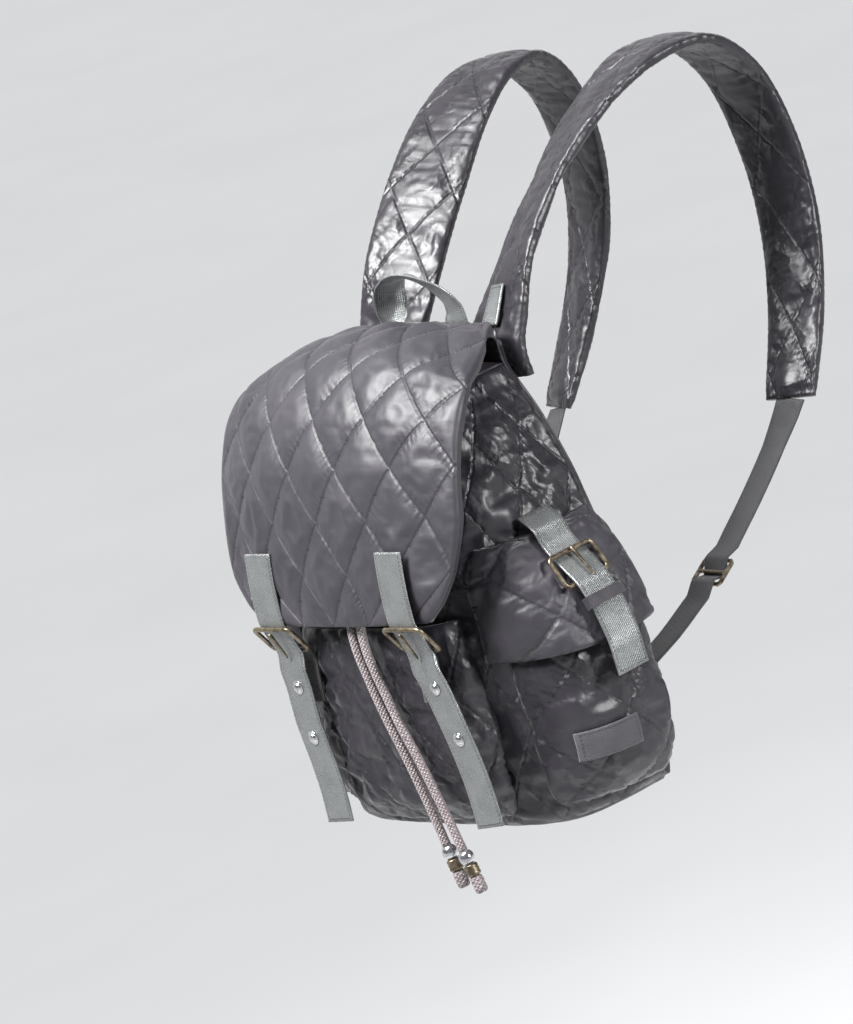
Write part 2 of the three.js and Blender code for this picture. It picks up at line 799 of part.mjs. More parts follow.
// Flat webbing through a row of stations: { place, wide } with wide the unit width direction
function webbing(stations, width, thickness) {
  const sections = stations.map(({ place, wide }, i) => {
    const before = stations[Math.max(0, i - 1)].place;
    const after = stations[Math.min(stations.length - 1, i + 1)].place;
    const run = after.clone().sub(before).normalize();
    const across = wide.clone().addScaledVector(run, -wide.dot(run)).normalize();
    const face = point(0, 0, 0).crossVectors(run, across);
    const corner = (a, b) =>
      place.clone().addScaledVector(across, (a * width) / 2).addScaledVector(face, (b * thickness) / 2);
    return [corner(-1, -1), corner(1, -1), corner(1, 1), corner(-1, 1)];
  });
  return loftSolid(sections);
}

// Smooth curve through a few places, as evenly spaced places
function smoothPath(places, steps) {
  const curve = new THREE.CatmullRomCurve3(places, false, 'centripetal');
  return curve.getSpacedPoints(steps);
}

// Places an upright shape, drawn in its own X-Y plane, with its middle at a place
function standAt(geometry, place, across, up) {
  const face = point(0, 0, 0).crossVectors(across, up).normalize();
  const basis = new THREE.Matrix4().makeBasis(across, point(0, 0, 0).crossVectors(face, across), face);
  geometry.applyMatrix4(basis.setPosition(place));
  return geometry;
}

function rectangle(target, width, height, middle, corner) {
  const x = width / 2;
  const y = height / 2;
  target.moveTo(-x + corner, middle - y);
  target.lineTo(x - corner, middle - y);
  target.lineTo(x, middle - y + corner);
  target.lineTo(x, middle + y - corner);
  target.lineTo(x - corner, middle + y);
  target.lineTo(-x + corner, middle + y);
  target.lineTo(-x, middle + y - corner);
  target.lineTo(-x, middle - y + corner);
  target.closePath();
  return target;
}

// Flat metal frame with one or two windows, centred on its own origin
function metalFrame(width, height, bar, windows) {
  const shape = rectangle(new THREE.Shape(), width, height, 0, bar);
  const opening = (height - bar * (windows + 1)) / windows;
  for (let i = 0; i < windows; i += 1) {
    const middle = (i - (windows - 1) / 2) * (opening + bar);
    shape.holes.push(rectangle(new THREE.Path(), width - 2 * bar, opening, middle, bar / 3));
  }
  const bevel = bar / 4;
  const geometry = new THREE.ExtrudeGeometry(shape, {
    depth: bar - 2 * bevel,
    bevelEnabled: true,
    bevelSize: bevel,
    bevelOffset: -bevel,
    bevelThickness: bevel,
    bevelSegments: 1,
  });
  return geometry.translate(0, 0, bevel - bar / 2);
}

// Tapered prong from the heel bar to the far bar, lying on the webbing
function prong(heel, tip, across) {
  const run = tip.clone().sub(heel).normalize();
  const face = point(0, 0, 0).crossVectors(run, across);
  const section = (place, size) => {
    const corners = [];
    for (let i = 0; i < 8; i += 1) {
      const angle = (i * Math.PI) / 4;
      corners.push(place.clone()
        .addScaledVector(across, (Math.cos(angle) * size) / 2)
        .addScaledVector(face, (Math.sin(angle) * size) / 2));
    }
    return corners;
  };
  const middle = heel.clone().lerp(tip, 0.5);
  return loftSolid([
    section(heel, prongWidth),
    section(middle, prongWidth * 0.85),
    section(tip, prongWidth * 0.6),
  ]);
}

const webLift = webThickness / 2 + seamGap;
const barLift = buckleBar / 2 + seamGap + webThickness / 2;
const barPitch = buckleHeight - buckleBar;

// Flap strap: sewn to the flap, behind the buckle's upper bar, over its lower bar, then free
const flapWebX = flapWebSpacing / 2;
const flapWebShare = flapWebX / ((flapWidth / 2) * readTable(flapSpread, 'along', 'wide', 0.93));
const flapEdge = flapPlace(flapWebShare, 1, 0);
const buckleTop = point(flapWebX, flapEdge.y - 2, flapEdge.z - buckleBar / 2);
const buckleLean = point(0, 0.54, -0.84).normalize();
const buckleFace = point(0, buckleLean.z, -buckleLean.y);
const buckleLow = buckleTop.clone().addScaledVector(buckleLean, barPitch);

function flapStrapPath(side) {
  const places = [];
  const first = flapAlongAt(flapEdge.z + flapWebSewn);
  for (let i = 0; i <= 6; i += 1) {
    const along = blend(first, 0.985, i / 6);
    const share = flapWebX / ((flapWidth / 2) * readTable(flapSpread, 'along', 'wide', along));
    const place = flapPlace(share, along, -webLift - webEase);
    places.push(place.setX(0));
  }
  const behind = buckleTop.clone().addScaledVector(buckleFace, -barLift - barEase).setX(0);
  const over = buckleLow.clone().addScaledVector(buckleFace, barLift + barEase).setX(0);
  places.push(behind, behind.clone().lerp(over, 0.5));
  const tail = smoothPath([over, ...tailRoute.map((row) =>
    over.clone().add(point(row[side], -row.out, -row.down).multiplyScalar(flapWebTail)))], tailSteps);
  const middle = side === 'right' ? flapWebX : -flapWebX;
  const shift = point(middle, 0, 0);
  return { upper: places.map((place) => place.add(shift)), tail: tail.map((place) => place.add(shift)) };
}

const tailSteps = 10;
const widthAlongX = point(1, 0, 0);

function makeFlapStrap({ upper, tail }) {
  const stations = [...upper, ...tail].map((place) => ({ place, wide: widthAlongX }));
  return webbing(stations, flapWebWidth, webThickness);
}

function makeFlapBuckle() {
  const middle = buckleTop.clone().lerp(buckleLow, 0.5);
  return standAt(metalFrame(buckleWidth, buckleHeight, buckleBar, 1), middle, widthAlongX,
    buckleLean.clone().negate());
}

function makeFlapProng() {
  const clear = barLift * 2 + prongWidth / 2 + seamGap;
  const heel = buckleTop.clone().addScaledVector(buckleFace, buckleBar / 2 + prongWidth / 2 + seamGap);
  heel.addScaledVector(buckleLean, 0.5);
  const tip = buckleLow.clone().addScaledVector(buckleFace, clear);
  return prong(heel, tip, widthAlongX);
}

// Tab that holds the buckle's lower bar to the front pocket
function makeBuckleTab() {
  const x = flapWebX - tabWidth / 4;
  const high = buckleLow.clone().addScaledVector(buckleFace, -buckleBar / 2 - seamGap - webThickness);
  high.addScaledVector(buckleLean, -buckleBar / 2);
  const sewn = (share) => {
    const z = buckleLow.z - share * tabLength;
    return point(x, frontFace(x - tabWidth / 2, z) - webLift - webEase, z);
  };
  const places = [...tabShares.map(sewn), high.setX(x)];
  return webbing(places.map((place) => ({ place, wide: widthAlongX })), tabWidth, webThickness);
}

// Domed rivet with its foot at a place and its head along a direction
function rivet(place, direction) {
  const radius = rivetDiameter / 2;
  const profile = [[0, 0], [radius, 0], [radius, 0.25], [radius * 0.7, 0.8], [0, 1]];
  const geometry = new THREE.LatheGeometry(
    profile.map(([r, h]) => new THREE.Vector2(r, h * rivetHeight)), 10);
  const turn = new THREE.Quaternion().setFromUnitVectors(point(0, 1, 0), direction.clone().normalize());
  geometry.applyQuaternion(turn);
  return geometry.translate(place.x, place.y, place.z);
}

function tailRivet(tail, share) {
  const i = Math.round(share * tailSteps);
  const run = tail[i + 1].clone().sub(tail[i - 1]).normalize();
  const face = point(0, 0, 0).crossVectors(widthAlongX, run).negate();
  return rivet(tail[i].clone().addScaledVector(face, webLift), face);
}

// Side strap: sewn above the pocket flap, over the flap, through its buckle and keeper
function sideFlapHeight(z) {
  const down = THREE.MathUtils.clamp((pocketFlapTop - z) / (pocketFlapTop - pocketFlapLow), 0, 1);
  const reach = Math.max(pocketFlapThickness * 0.9, pocketFlapReach * pocketFlapOut(down));
  return bodySide(flapWebWidth / 2 - sidePocketSetback, z) + seamGap + reach + pocketFlapThickness;
}

const sideBuckleHeight = pocketFlapTop - sideBuckleDrop;
const sideTopBar = point(0, -sidePocketSetback, sideBuckleHeight + barPitch / 2);
sideTopBar.x = sideFlapHeight(sideTopBar.z) + 2 * webLift + buckleBar / 2 + webEase + barEase;
const sideLowBar = point(0, -sidePocketSetback, sideBuckleHeight - barPitch / 2);
sideLowBar.x = sideFlapHeight(sideLowBar.z) + webLift + buckleBar / 2;
const sideUp = sideTopBar.clone().sub(sideLowBar).normalize();
const sideFace = point(sideUp.z, 0, -sideUp.x);
const sideKeeperHeight = sideLowBar.z - keeperDrop;
const sideTailEnd = pocketFlapTop + sideWebRise - sideWebTail - sideBuckleDrop;
const widthAlongY = point(0, 1, 0);

function sideStrapStations() {
  const y = -sidePocketSetback;
  const top = pocketFlapTop + sideWebRise;
  const behind = sideTopBar.clone().addScaledVector(sideFace, -barLift - barEase);
  const over = sideLowBar.clone().addScaledVector(sideFace, barLift + barEase);
  const above = (z) => point(sideFlapHeight(z) + webLift + webEase, y, z);
  const upper = blend(pocketFlapTop, behind.z, 0.5);
  const hanging = over.x - sideFlapHeight(over.z);
  const places = [
    point(bodySide(y, top) + webLift + webEase, y, top),
    above(pocketFlapTop + 2),
    above(upper),
    behind,
    behind.clone().lerp(over, 0.5),
    over,
  ];
  const steps = 10;
  for (let i = 1; i <= steps; i += 1) {
    const z = blend(over.z, sideTailEnd, i / steps);
    places.push(point(sideFlapHeight(Math.max(z, pocketFlapLow)) + hanging, y, z));
  }
  return places.map((place) => ({ place, wide: widthAlongY }));
}

function makeSideBuckle() {
  const middle = sideTopBar.clone().lerp(sideLowBar, 0.5);
  return standAt(metalFrame(buckleWidth, buckleHeight, buckleBar, 1), middle, widthAlongY, sideUp);
}

function makeSideProng() {
  const heel = sideTopBar.clone().addScaledVector(sideFace, buckleBar / 2 + prongWidth / 2 + seamGap);
  const tip = sideLowBar.clone().addScaledVector(sideFace, 2 * barLift + prongWidth / 2 + seamGap);
  return prong(heel.addScaledVector(sideUp, -0.5), tip, widthAlongY);
}

function makeSideKeeper(stations) {
  const off = (station) => Math.abs(station.place.z - sideKeeperHeight);
  const nearest = stations.reduce((best, station) => (off(station) < off(best) ? station : best));
  const i = stations.indexOf(nearest);
  const run = stations[i - 1].place.clone().sub(stations[i + 1].place).normalize();
  const hole = { wide: flapWebWidth + 2 * keeperRoom, deep: webThickness + 2 * keeperRoom };
  const outside = { wide: hole.wide + 2 * keeperWall, deep: hole.deep + 2 * keeperWall };
  const shape = rectangle(new THREE.Shape(), outside.wide, outside.deep, 0, keeperWall / 2);
  shape.holes.push(rectangle(new THREE.Path(), hole.wide, hole.deep, 0, seamGap));
  const geometry = new THREE.ExtrudeGeometry(shape, { depth: keeperLength, bevelEnabled: false });
  geometry.translate(0, 0, -keeperLength / 2);
  const face = point(0, 0, 0).crossVectors(run, widthAlongY).normalize();
  return standAt(geometry, nearest.place, widthAlongY, face);
}

// Haul loop: an arch of webbing whose feet are sewn to the flap's first upright stretch
function makeHaulLoop() {
  const half = (haulSpacing - haulWidth) / 2;
  const foot = -flapRootInset + webLift + seamGap;
  const low = collarTop + 1;
  const high = low + haulSewn;
  const rows = [
    { x: -half, y: foot, z: low, turn: 0 },
    { x: -half, y: foot, z: high - 2, turn: 0 },
    ...haulRoute.map((row) => ({
      x: row.across * half,
      y: foot + 1 + row.back * haulHeight,
      z: high + row.up * haulHeight,
      turn: row.turn,
    })),
    { x: half, y: foot, z: high - 2, turn: 0 },
    { x: half, y: foot, z: low, turn: 0 },
  ];
  const places = rows.map((row) => point(row.x, row.y, row.z));
  const curve = new THREE.CatmullRomCurve3(places, false, 'centripetal');
  const steps = 24;
  const stations = [];
  for (let i = 0; i <= steps; i += 1) {
    const t = i / steps;
    const k = Math.min(rows.length - 2, Math.floor(t * (rows.length - 1)));
    const turn = THREE.MathUtils.degToRad(blend(rows[k].turn, rows[k + 1].turn, t * (rows.length - 1) - k));
    const run = curve.getTangent(t);
    const sewn = point(run.z, 0, -run.x);
    const wide = sewn.multiplyScalar(Math.cos(turn)).add(point(0, Math.sin(turn), 0));
    stations.push({ place: curve.getPoint(t), wide });
  }
  return webbing(stations, haulWidth, webThickness);
}

// Shoulder strap pad, from its foot sewn flat on the back face
const strapFoot = 3 * seamGap + strapThickness / 2;
const strapRootHeight = bodyHeight + collarHeight / 3;

function strapPlace(row) {
  return point(
    strapSpacing / 2 + row.out * strapSpread,
    strapFoot + row.back * strapReach,
    strapRootHeight + row.up * strapRise,
  );
}

const strapPlaces = [
  point(strapSpacing / 2, strapFoot, strapRootHeight - strapSewn),
  point(strapSpacing / 2, strapFoot, strapRootHeight - edgeRound),
  ...strapRoute.map(strapPlace),
];
const strapCurve = new THREE.CatmullRomCurve3(strapPlaces, false, 'centripetal');
const strapTurns = [0, 0, ...strapRoute.map((row) => row.turn)];
const strapWides = [1, 1, ...strapRoute.map((row) => row.wide)];

function strapStation(t) {
  const spot = t * (strapPlaces.length - 1);
  const k = Math.min(strapPlaces.length - 2, Math.floor(spot));
  const turn = THREE.MathUtils.degToRad(blend(strapTurns[k], strapTurns[k + 1], spot - k));
  const run = strapCurve.getTangent(t);
  const wide = point(Math.cos(turn), Math.sin(turn), 0);
  wide.addScaledVector(run, -wide.dot(run)).normalize();
  const face = point(0, 0, 0).crossVectors(run, wide);
  const width = strapWidth * blend(strapWides[k], strapWides[k + 1], spot - k);
  return { place: strapCurve.getPoint(t), wide, face, width };
}

function makeShoulderStrap() {
  const steps = 20;
  const sides = 10;
  const sections = [];
  for (let i = 0; i <= steps; i += 1) {
    const { place, wide, face, width } = strapStation(i / steps);
    const flat = i === steps ? 0.55 : 1;
    const section = [];
    for (let k = 0; k < sides; k += 1) {
      const angle = (2 * Math.PI * (k + 0.5)) / sides;
      const c = Math.cos(angle);
      const s = Math.sin(angle);
      const a = (Math.sign(c) * Math.pow(Math.abs(c), 0.5) * width) / 2;
      const b = (Math.sign(s) * Math.pow(Math.abs(s), 0.7) * strapThickness * flat) / 2;
      section.push(place.clone().addScaledVector(wide, a).addScaledVector(face, b));
    }
    sections.push(section);
  }
  return loftSolid(sections);
}

// Webbing from the pad's end through the adjuster to the back face's lower corner
const padEnd = strapStation(1);
const padRun = strapCurve.getTangent(1);
const webStart = padEnd.place.clone().addScaledVector(padRun, padGap);
const anchorPlace = point(anchorSpacing / 2, webLift + webEase, anchorHeight);

const strapWebSteps = 20;

function strapWebPlaces() {
  const between = strapWebRoute.map((row) => point(
    blend(webStart.x, anchorPlace.x, row.across),
    blend(webStart.y, anchorPlace.y + anchorRise / 2, row.forward),
    blend(webStart.z, anchorPlace.z + anchorRise, row.down),
  ));
  const reached = anchorPlace.clone().add(point(0, anchorRise / 8, 0.75 * anchorRise));
  const sewn = anchorPlace.clone().add(point(0, 0, -anchorSewn));
  return [...smoothPath([webStart, ...between, reached], strapWebSteps), sewn];
}

const strapWebPath = strapWebPlaces();
const adjusterAt = Math.round(adjusterShare * strapWebSteps);

function adjusterFrame() {
  const run = strapWebPath[adjusterAt + 1].clone().sub(strapWebPath[adjusterAt - 1]).normalize();
  const wide = widthAlongX.clone().addScaledVector(run, -run.x).normalize();
  const face = point(0, 0, 0).crossVectors(wide, run).normalize();
  return { place: strapWebPath[adjusterAt], run, wide, face };
}

// The webbing weaves behind the adjuster's end bars and over its middle bar
function makeStrapWebbing() {
  const { place, run, face } = adjusterFrame();
  const swing = adjusterBar / 2 + webThickness / 2 + 2 * seamGap;
  const reach = adjusterHeight / 2;
  const woven = adjusterWeave.map(({ along, level }) =>
    place.clone().addScaledVector(run, along * reach).addScaledVector(face, level * swing));
  const clear = reach * 2.1;
  const early = strapWebPath.slice(0, adjusterAt).filter((spot) => spot.distanceTo(place) > clear);
  const late = strapWebPath.slice(adjusterAt + 1).filter((spot) => spot.distanceTo(place) > clear);
  const places = [...early, ...woven, ...late];
  const turning = 3;
  const stations = places.map((spot, i) => ({
    place: spot,
    wide: padEnd.wide.clone().lerp(widthAlongX, Math.min(1, i / turning)),
  }));
  return webbing(stations, strapWebWidth, webThickness);
}

function makeAdjuster() {
  const { place, run, wide } = adjusterFrame();
  const frame = metalFrame(adjusterWidth, adjusterHeight, adjusterBar, 2);
  return standAt(frame, place, wide, run.clone().negate());
}

// Short silver tab sewn on the outer face of the right strap's root
function makeRootTab() {
  const stations = [];
  const steps = 8;
  for (let i = 0; i <= steps; i += 1) {
    const t = rootTabStartShare + (rootTabLength / strapCurve.getLength()) * (i / steps);
    const { place, wide, face } = strapStation(t);
    const lift = strapThickness / 2 + webLift + webEase;
    stations.push({ place: place.clone().addScaledVector(face, -lift), wide });
  }
  return webbing(stations, rootTabWidth, webThickness);
}

// Round ring, bead or knob along a direction from a place
function turned(profile, place, direction, sides = 12) {
  const geometry = new THREE.LatheGeometry(profile.map(([r, h]) => new THREE.Vector2(r, h)), sides);
  const turn = new THREE.Quaternion().setFromUnitVectors(point(0, 1, 0), direction.clone().normalize());
  geometry.applyQuaternion(turn);
  return geometry.translate(place.x, place.y, place.z);
}

function barrel(diameter, length, waist) {
  const r = diameter / 2;
  return [[0, 0], [r * waist, 0], [r, length * 0.3], [r, length * 0.7], [r * waist, length], [0, length]];
}

function addDrawcord(side) {
  const places = cordRoutes[side].map(([x, y, z]) => point(x, y, z));
  const curve = new THREE.CatmullRomCurve3(places, false, 'centripetal');
  const section = new THREE.Shape();
  section.absarc(0, 0, cordDiameter / 2, 0, Math.PI * 2);
  const steps = Math.round(curve.getLength() / (cordDiameter * 2.8));
  const tube = new THREE.ExtrudeGeometry(section, { steps, extrudePath: curve, curveSegments: 4 });
  addPiece(`drawcord_${side}`, tube, cordCotton);

  const start = curve.getTangent(0);
  const rim = eyeletDiameter / 2;
  const hole = cordDiameter / 2 + 0.6;
  const ring = [[hole, 0], [rim, 0], [rim * 0.95, eyeletThickness], [hole, eyeletThickness], [hole, 0]];
  const seat = places[0].clone().addScaledVector(start, -eyeletThickness - eyeletEase);
  addPiece(`cord_eyelet_${side}`, turned(ring, seat, start, 14), antiqueMetal);

  const end = curve.getTangent(1);
  const next = places[places.length - 1].clone().addScaledVector(end, seamGap);
  addPiece(`cord_bead_${side}`, turned(barrel(beadDiameter, beadLength, 0.6), next, end), brightMetal);
  next.addScaledVector(end, beadLength + seamGap);
  const collar = turned(barrel(collarDiameter, collarLength, 0.75), next, end);
  addPiece(`cord_collar_${side}`, collar, antiqueMetal);
  next.addScaledVector(end, collarLength + seamGap);
  addPiece(`cord_knob_${side}`, turned(barrel(knobDiameter, knobLength, 0.8), next, end), cordCotton);
}

// Blank label on the right side pocket
function makeLabel() {
  const columns = 6;
  const rows = 1;
  const layer = (lift) => {
    const grid = [];
    for (let j = 0; j <= rows; j += 1) {
      const row = [];
      for (let i = 0; i <= columns; i += 1) {
        const across = sidePocketSetback - labelSetback + ((i / columns) - 0.5) * labelWidth;
        const z = labelLow + (j / rows) * labelHeight;
        const up = (z - sidePocketLow) / sidePocketHeight;
        const half = (sidePocketWidth / 2) * readTable(pocketSections, 'up', 'wide', up);
        const reach = (sidePocketReach + pocketWall) * readTable(pocketSections, 'up', 'out', up);
        const share = Math.min(1, Math.abs(across / half));
        const arch = reach * Math.pow(1 - Math.pow(share, pocketCorner), 1 / pocketCorner);
        row.push(onSide(across, seamGap + arch + lift, z));
      }
      grid.push(row);
    }
    return grid;
  };
  const lift = 2.5 * seamGap;
  return sheetSolid(layer(lift + labelThickness), layer(lift));
}

addPiece('body_wall', makeBodyWall(), nylon);
addPiece('base_panel', makeBasePanel(), nylonDark);
addPiece('back_panel', makeBackPanel(), nylonDark);
addPiece('mouth_collar', makeCollar(), nylonDark);
addPiece('flap', makeFlap(), nylon);
addPiece('front_pocket',
  makePocket(frontPocketWidth, frontPocketLow, frontPocketHeight, frontPocketReach, onFront), nylon);
addPair('side_pocket',
  makePocket(sidePocketWidth, sidePocketLow, sidePocketHeight, sidePocketReach, onSide), nylon);
addPair('side_pocket_flap', makePocketFlap(), nylon);

const sideStations = sideStrapStations();
addPair('side_strap', webbing(sideStations, flapWebWidth, webThickness), silverWeb);
addPair('side_buckle', makeSideBuckle(), antiqueMetal);
addPair('side_prong', makeSideProng(), antiqueMetal);
addPair('side_keeper', makeSideKeeper(sideStations), nylonDark);

for (const side of ['right', 'left']) {
  const path = flapStrapPath(side);
  addPiece(`flap_strap_${side}`, makeFlapStrap(path), silverWeb);
  addPiece(`upper_rivet_${side}`, tailRivet(path.tail, upperRivetShare), brightMetal);
  addPiece(`lower_rivet_${side}`, tailRivet(path.tail, lowerRivetShare), brightMetal);
}
addPair('flap_buckle', makeFlapBuckle(), antiqueMetal);
addPair('flap_prong', makeFlapProng(), antiqueMetal);
addPair('buckle_tab', makeBuckleTab(), nylonDark);

addPiece('haul_loop', makeHaulLoop(), silverWeb);
addPair('shoulder_strap', makeShoulderStrap(), nylonDark);
addPair('strap_webbing', makeStrapWebbing(), blackWeb);
addPair('strap_adjuster', makeAdjuster(), antiqueMetal);
addPiece('root_tab_right', makeRootTab(), silverWeb);

addDrawcord('left');
addDrawcord('right');
addPiece('side_label', makeLabel(), labelCloth);

// The pack hangs from the undersides of its two shoulder crests
const crest = strapStation(6 / (strapPlaces.length - 1));
pack.position.set(0, -crest.place.y, -(crest.place.z - strapThickness / 2));

const backpack = new THREE.Group();
backpack.add(pack);

export default backpack;
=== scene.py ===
import math

import bpy
import numpy as np
from mathutils import Matrix, Vector
from mathutils.noise import noise as noise_at


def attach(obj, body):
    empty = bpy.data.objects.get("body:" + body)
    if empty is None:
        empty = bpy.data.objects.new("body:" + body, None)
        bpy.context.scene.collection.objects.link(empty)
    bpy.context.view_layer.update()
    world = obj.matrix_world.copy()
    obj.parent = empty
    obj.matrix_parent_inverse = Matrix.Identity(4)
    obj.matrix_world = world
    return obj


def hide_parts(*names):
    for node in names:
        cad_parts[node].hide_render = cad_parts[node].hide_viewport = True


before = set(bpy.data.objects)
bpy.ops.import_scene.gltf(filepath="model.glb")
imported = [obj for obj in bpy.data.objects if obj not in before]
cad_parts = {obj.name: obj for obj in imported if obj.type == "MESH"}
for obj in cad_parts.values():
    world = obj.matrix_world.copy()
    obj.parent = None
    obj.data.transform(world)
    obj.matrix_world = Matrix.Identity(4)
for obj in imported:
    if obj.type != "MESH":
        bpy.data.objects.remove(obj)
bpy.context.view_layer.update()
scene = bpy.context.scene

# ---- sizes of the pack, in millimetres, as in the source
PACK_Y, PACK_Z = -195.0, -483.57
SEAM_GAP = 0.3
BODY_WIDTH, BODY_HEIGHT, BODY_DEPTH = 286, 325, 120
BODY_CORNER, BODY_WALL = 4.5, 7
BACK_THICK, BASE_THICK = 10, 6
DIAMOND_W, DIAMOND_H = 57, 83
BODY_QUILT, FLAP_QUILT, POCKET_QUILT = 4, 4, 3
COLLAR_HEIGHT, COLLAR_WALL = 20, 5
MOUTH_W, MOUTH_D, MOUTH_BACK = 120, 56, 22
GATHERS, GATHER_DEPTH = 10, 5
FLAP_WIDTH, FLAP_THICK, FLAP_RISE, FLAP_LOW = 272, 8, 24, 181
FLAP_OFF, FLAP_DROOP, FLAP_INSET = 14, 26, 1
FRONT_W, FRONT_LOW, FRONT_H, FRONT_REACH, FRONT_SEAT = 184, 14, 156, 24, 0.7
SIDE_W, SIDE_BACK, SIDE_LOW, SIDE_H, SIDE_REACH = 96, 60, 16, 150, 28
POCKET_WALL, POCKET_CORNER = 5, 3
CAP_LOW, CAP_RISE, CAP_THICK, CAP_GAP = 134, 51, 5, 2
WEB_THICK, WEB_W, WEB_SPACING, WEB_SEWN, WEB_TAIL = 1.8, 30, 152, 55, 132
BUCKLE_W, BUCKLE_H, BUCKLE_BAR = 45, 28, 3.5
PRONG_W, RIVET_D, RIVET_H, TAB_W = 3.2, 8, 2.4, 24
SIDE_WEB_RISE, SIDE_DROP, SIDE_TAIL = 12, 28, 92
HAUL_W, HAUL_SPACING, HAUL_H, HAUL_SEWN = 25, 97, 34, 12
STRAP_W, STRAP_T, STRAP_SPACING, STRAP_REACH = 66, 13, 122, 268
STRAP_RISE, STRAP_SPREAD, STRAP_SEWN = 160, 72, 22
PAD_GAP, WEB_TUCK, STRAP_WEB_W, ANCHOR_H, ANCHOR_SPACING, ANCHOR_SEWN = 3, 0.5, 25, 74, 232, 14
ADJ_H, ADJ_BAR = 24, 3
ROOT_TAB_W, ROOT_TAB_L = 20, 44
CORD_D = 7
LABEL_W, LABEL_H, LABEL_T, LABEL_LOW, LABEL_BACK = 42, 22, 1, 52, 79
COLLAR_TOP = BODY_HEIGHT + COLLAR_HEIGHT
WALL_REAR = BACK_THICK + SEAM_GAP
WEB_LIFT = WEB_THICK / 2 + SEAM_GAP
WEB_EASE, BAR_EASE = 0.65, 0.5
BAR_LIFT = BUCKLE_BAR / 2 + SEAM_GAP + WEB_THICK / 2
BAR_PITCH = BUCKLE_H - BUCKLE_BAR

BODY = dict(
    up=[0, 0.06, 0.2, 0.48, 0.7, 0.87, 1],
    wide=[0.93, 0.975, 1, 0.99, 0.92, 0.79, 0.62],
    deep=[0.9, 0.965, 1, 1, 0.96, 0.87, 0.74],
)
FOLDS = [(0.52, 0.84, 0.05, 0.035, 1.1), (0.72, 0.76, 0.09, 0.03, 0.9), (0.62, 0.66, 0.04, 0.06, 0.8)]
FLAP_LINE = [(0.07, 0.955), (0.2, 0.995), (0.38, 1), (0.58, 0.955), (0.76, 0.81),
             (0.875, 0.615), (0.94, 0.375), (0.98, 0.17), (1, 0)]
SPREAD = dict(
    along=[0, 0.06, 0.14, 0.3, 0.5, 0.74, 0.87, 0.95, 1],
    wide=[0.54, 0.62, 0.78, 0.93, 1, 1, 0.94, 0.83, 0.7],
    droop=[0.02, 0.15, 0.6, 1, 1, 0.85, 0.6, 0.45, 0.35],
)
POCKET = dict(
    up=[0, 0.015, 0.06, 0.16, 0.36, 0.62, 0.82, 1],
    wide=[0.84, 0.87, 0.92, 0.97, 1, 1, 0.98, 0.95],
    out=[0, 0.3, 0.62, 0.9, 1, 0.98, 0.87, 0.7],
)
CAP = dict(
    down=[0, 0.08, 0.25, 0.5, 0.75, 1],
    wide=[0.8, 0.88, 0.98, 1, 1.01, 1.02],
    out=[0.03, 0.16, 0.42, 0.72, 0.93, 1.05],
)
TAIL = [(0.015, 0.06, 0, 0.02), (0.02, 0.2, 0.01, 0.07), (0.03, 0.4, 0.01, 0.13),
        (0.03, 0.62, 0.03, 0.17), (0.04, 0.82, 0.05, 0.2), (0.06, 0.99, 0.06, 0.22)]
HAUL = [(-1, 0.12, 0, 25), (-0.97, 0.42, 0.02, 50), (-0.88, 0.72, 0.02, 70), (-0.66, 0.95, 0, 84),
        (-0.3, 1, -0.04, 70), (0.1, 0.92, -0.08, 52), (0.5, 0.74, -0.06, 40),
        (0.82, 0.48, 0, 24), (0.97, 0.18, 0.02, 8)]
STRAP = [(0.02, 0.06, 0.14, -12, 1), (0.06, 0.16, 0.36, -28, 1), (0.14, 0.33, 0.64, -34, 1),
         (0.28, 0.52, 0.87, -26, 1), (0.4, 0.7, 0.99, -12, 0.99), (0.5, 0.85, 0.97, -4, 0.97),
         (0.56, 0.96, 0.76, 2, 0.93), (0.63, 1, 0.4, 6, 0.88), (0.74, 0.97, 0.02, 10, 0.82),
         (0.88, 0.87, -0.36, 14, 0.74), (1, 0.73, -0.72, 18, 0.64)]
STRAP_WEB = [(0.1, 0.16, 0.22), (0.25, 0.4, 0.5), (0.45, 0.64, 0.74), (0.68, 0.84, 0.9), (0.88, 0.95, 0.97)]
WEAVE = [(-1.9, 0), (-1.02, -1), (-0.72, -1), (-0.15, 1), (0.15, 1), (0.72, -1), (1.02, -1), (1.9, 0)]
CORDS = {
    "left": [
        [-8, -94, 338], [-8, -104, 334], [-7, -112, 321], [-6, -120, 303], [-4, -126, 281],
        [-2, -131, 257], [0, -135, 233], [2, -140, 211], [4, -146, 192], [6, -151.5, 177],
        [9, -155, 160], [13, -156, 142], [17, -156.5, 124], [23, -157, 102], [30, -157, 78],
        [37, -157.5, 52], [43, -158, 28], [47, -158.5, 10],
    ],
    "right": [
        [8, -94, 338], [8, -104, 334], [8, -112, 321], [9, -120, 303], [10, -126, 281],
        [12, -131, 257], [13, -135, 233], [14, -140, 211], [15, -146, 192], [17, -151.5, 177],
        [20, -155, 160], [24, -156, 142], [29, -156.5, 124], [35, -157, 102], [43, -157, 78],
        [51, -157.5, 52], [58, -158, 28], [64, -158.5, 6],
    ],
}
SIDES = (("right", 1), ("left", -1))
CLOTH = {
    "body": dict(pressure=5.0, grow=0.05, cap=0.005, bend=0.12),
    "flap": dict(pressure=9.0, grow=0.006, cap=0.006, bend=0.6),
    "front_pocket": dict(pressure=5.0, grow=0.06, cap=0.0045, bend=0.08),
    "side_pocket": dict(pressure=5.0, grow=0.06, cap=0.0045, bend=0.08),
    "cap": dict(pressure=5.0, grow=0.05, cap=0.0035, bend=0.08),
}
CLOTH_FRAMES, CLOTH_STIFF, SEAM_PUFF = 14, 14, 0.3
LATHE_SIDES = 28


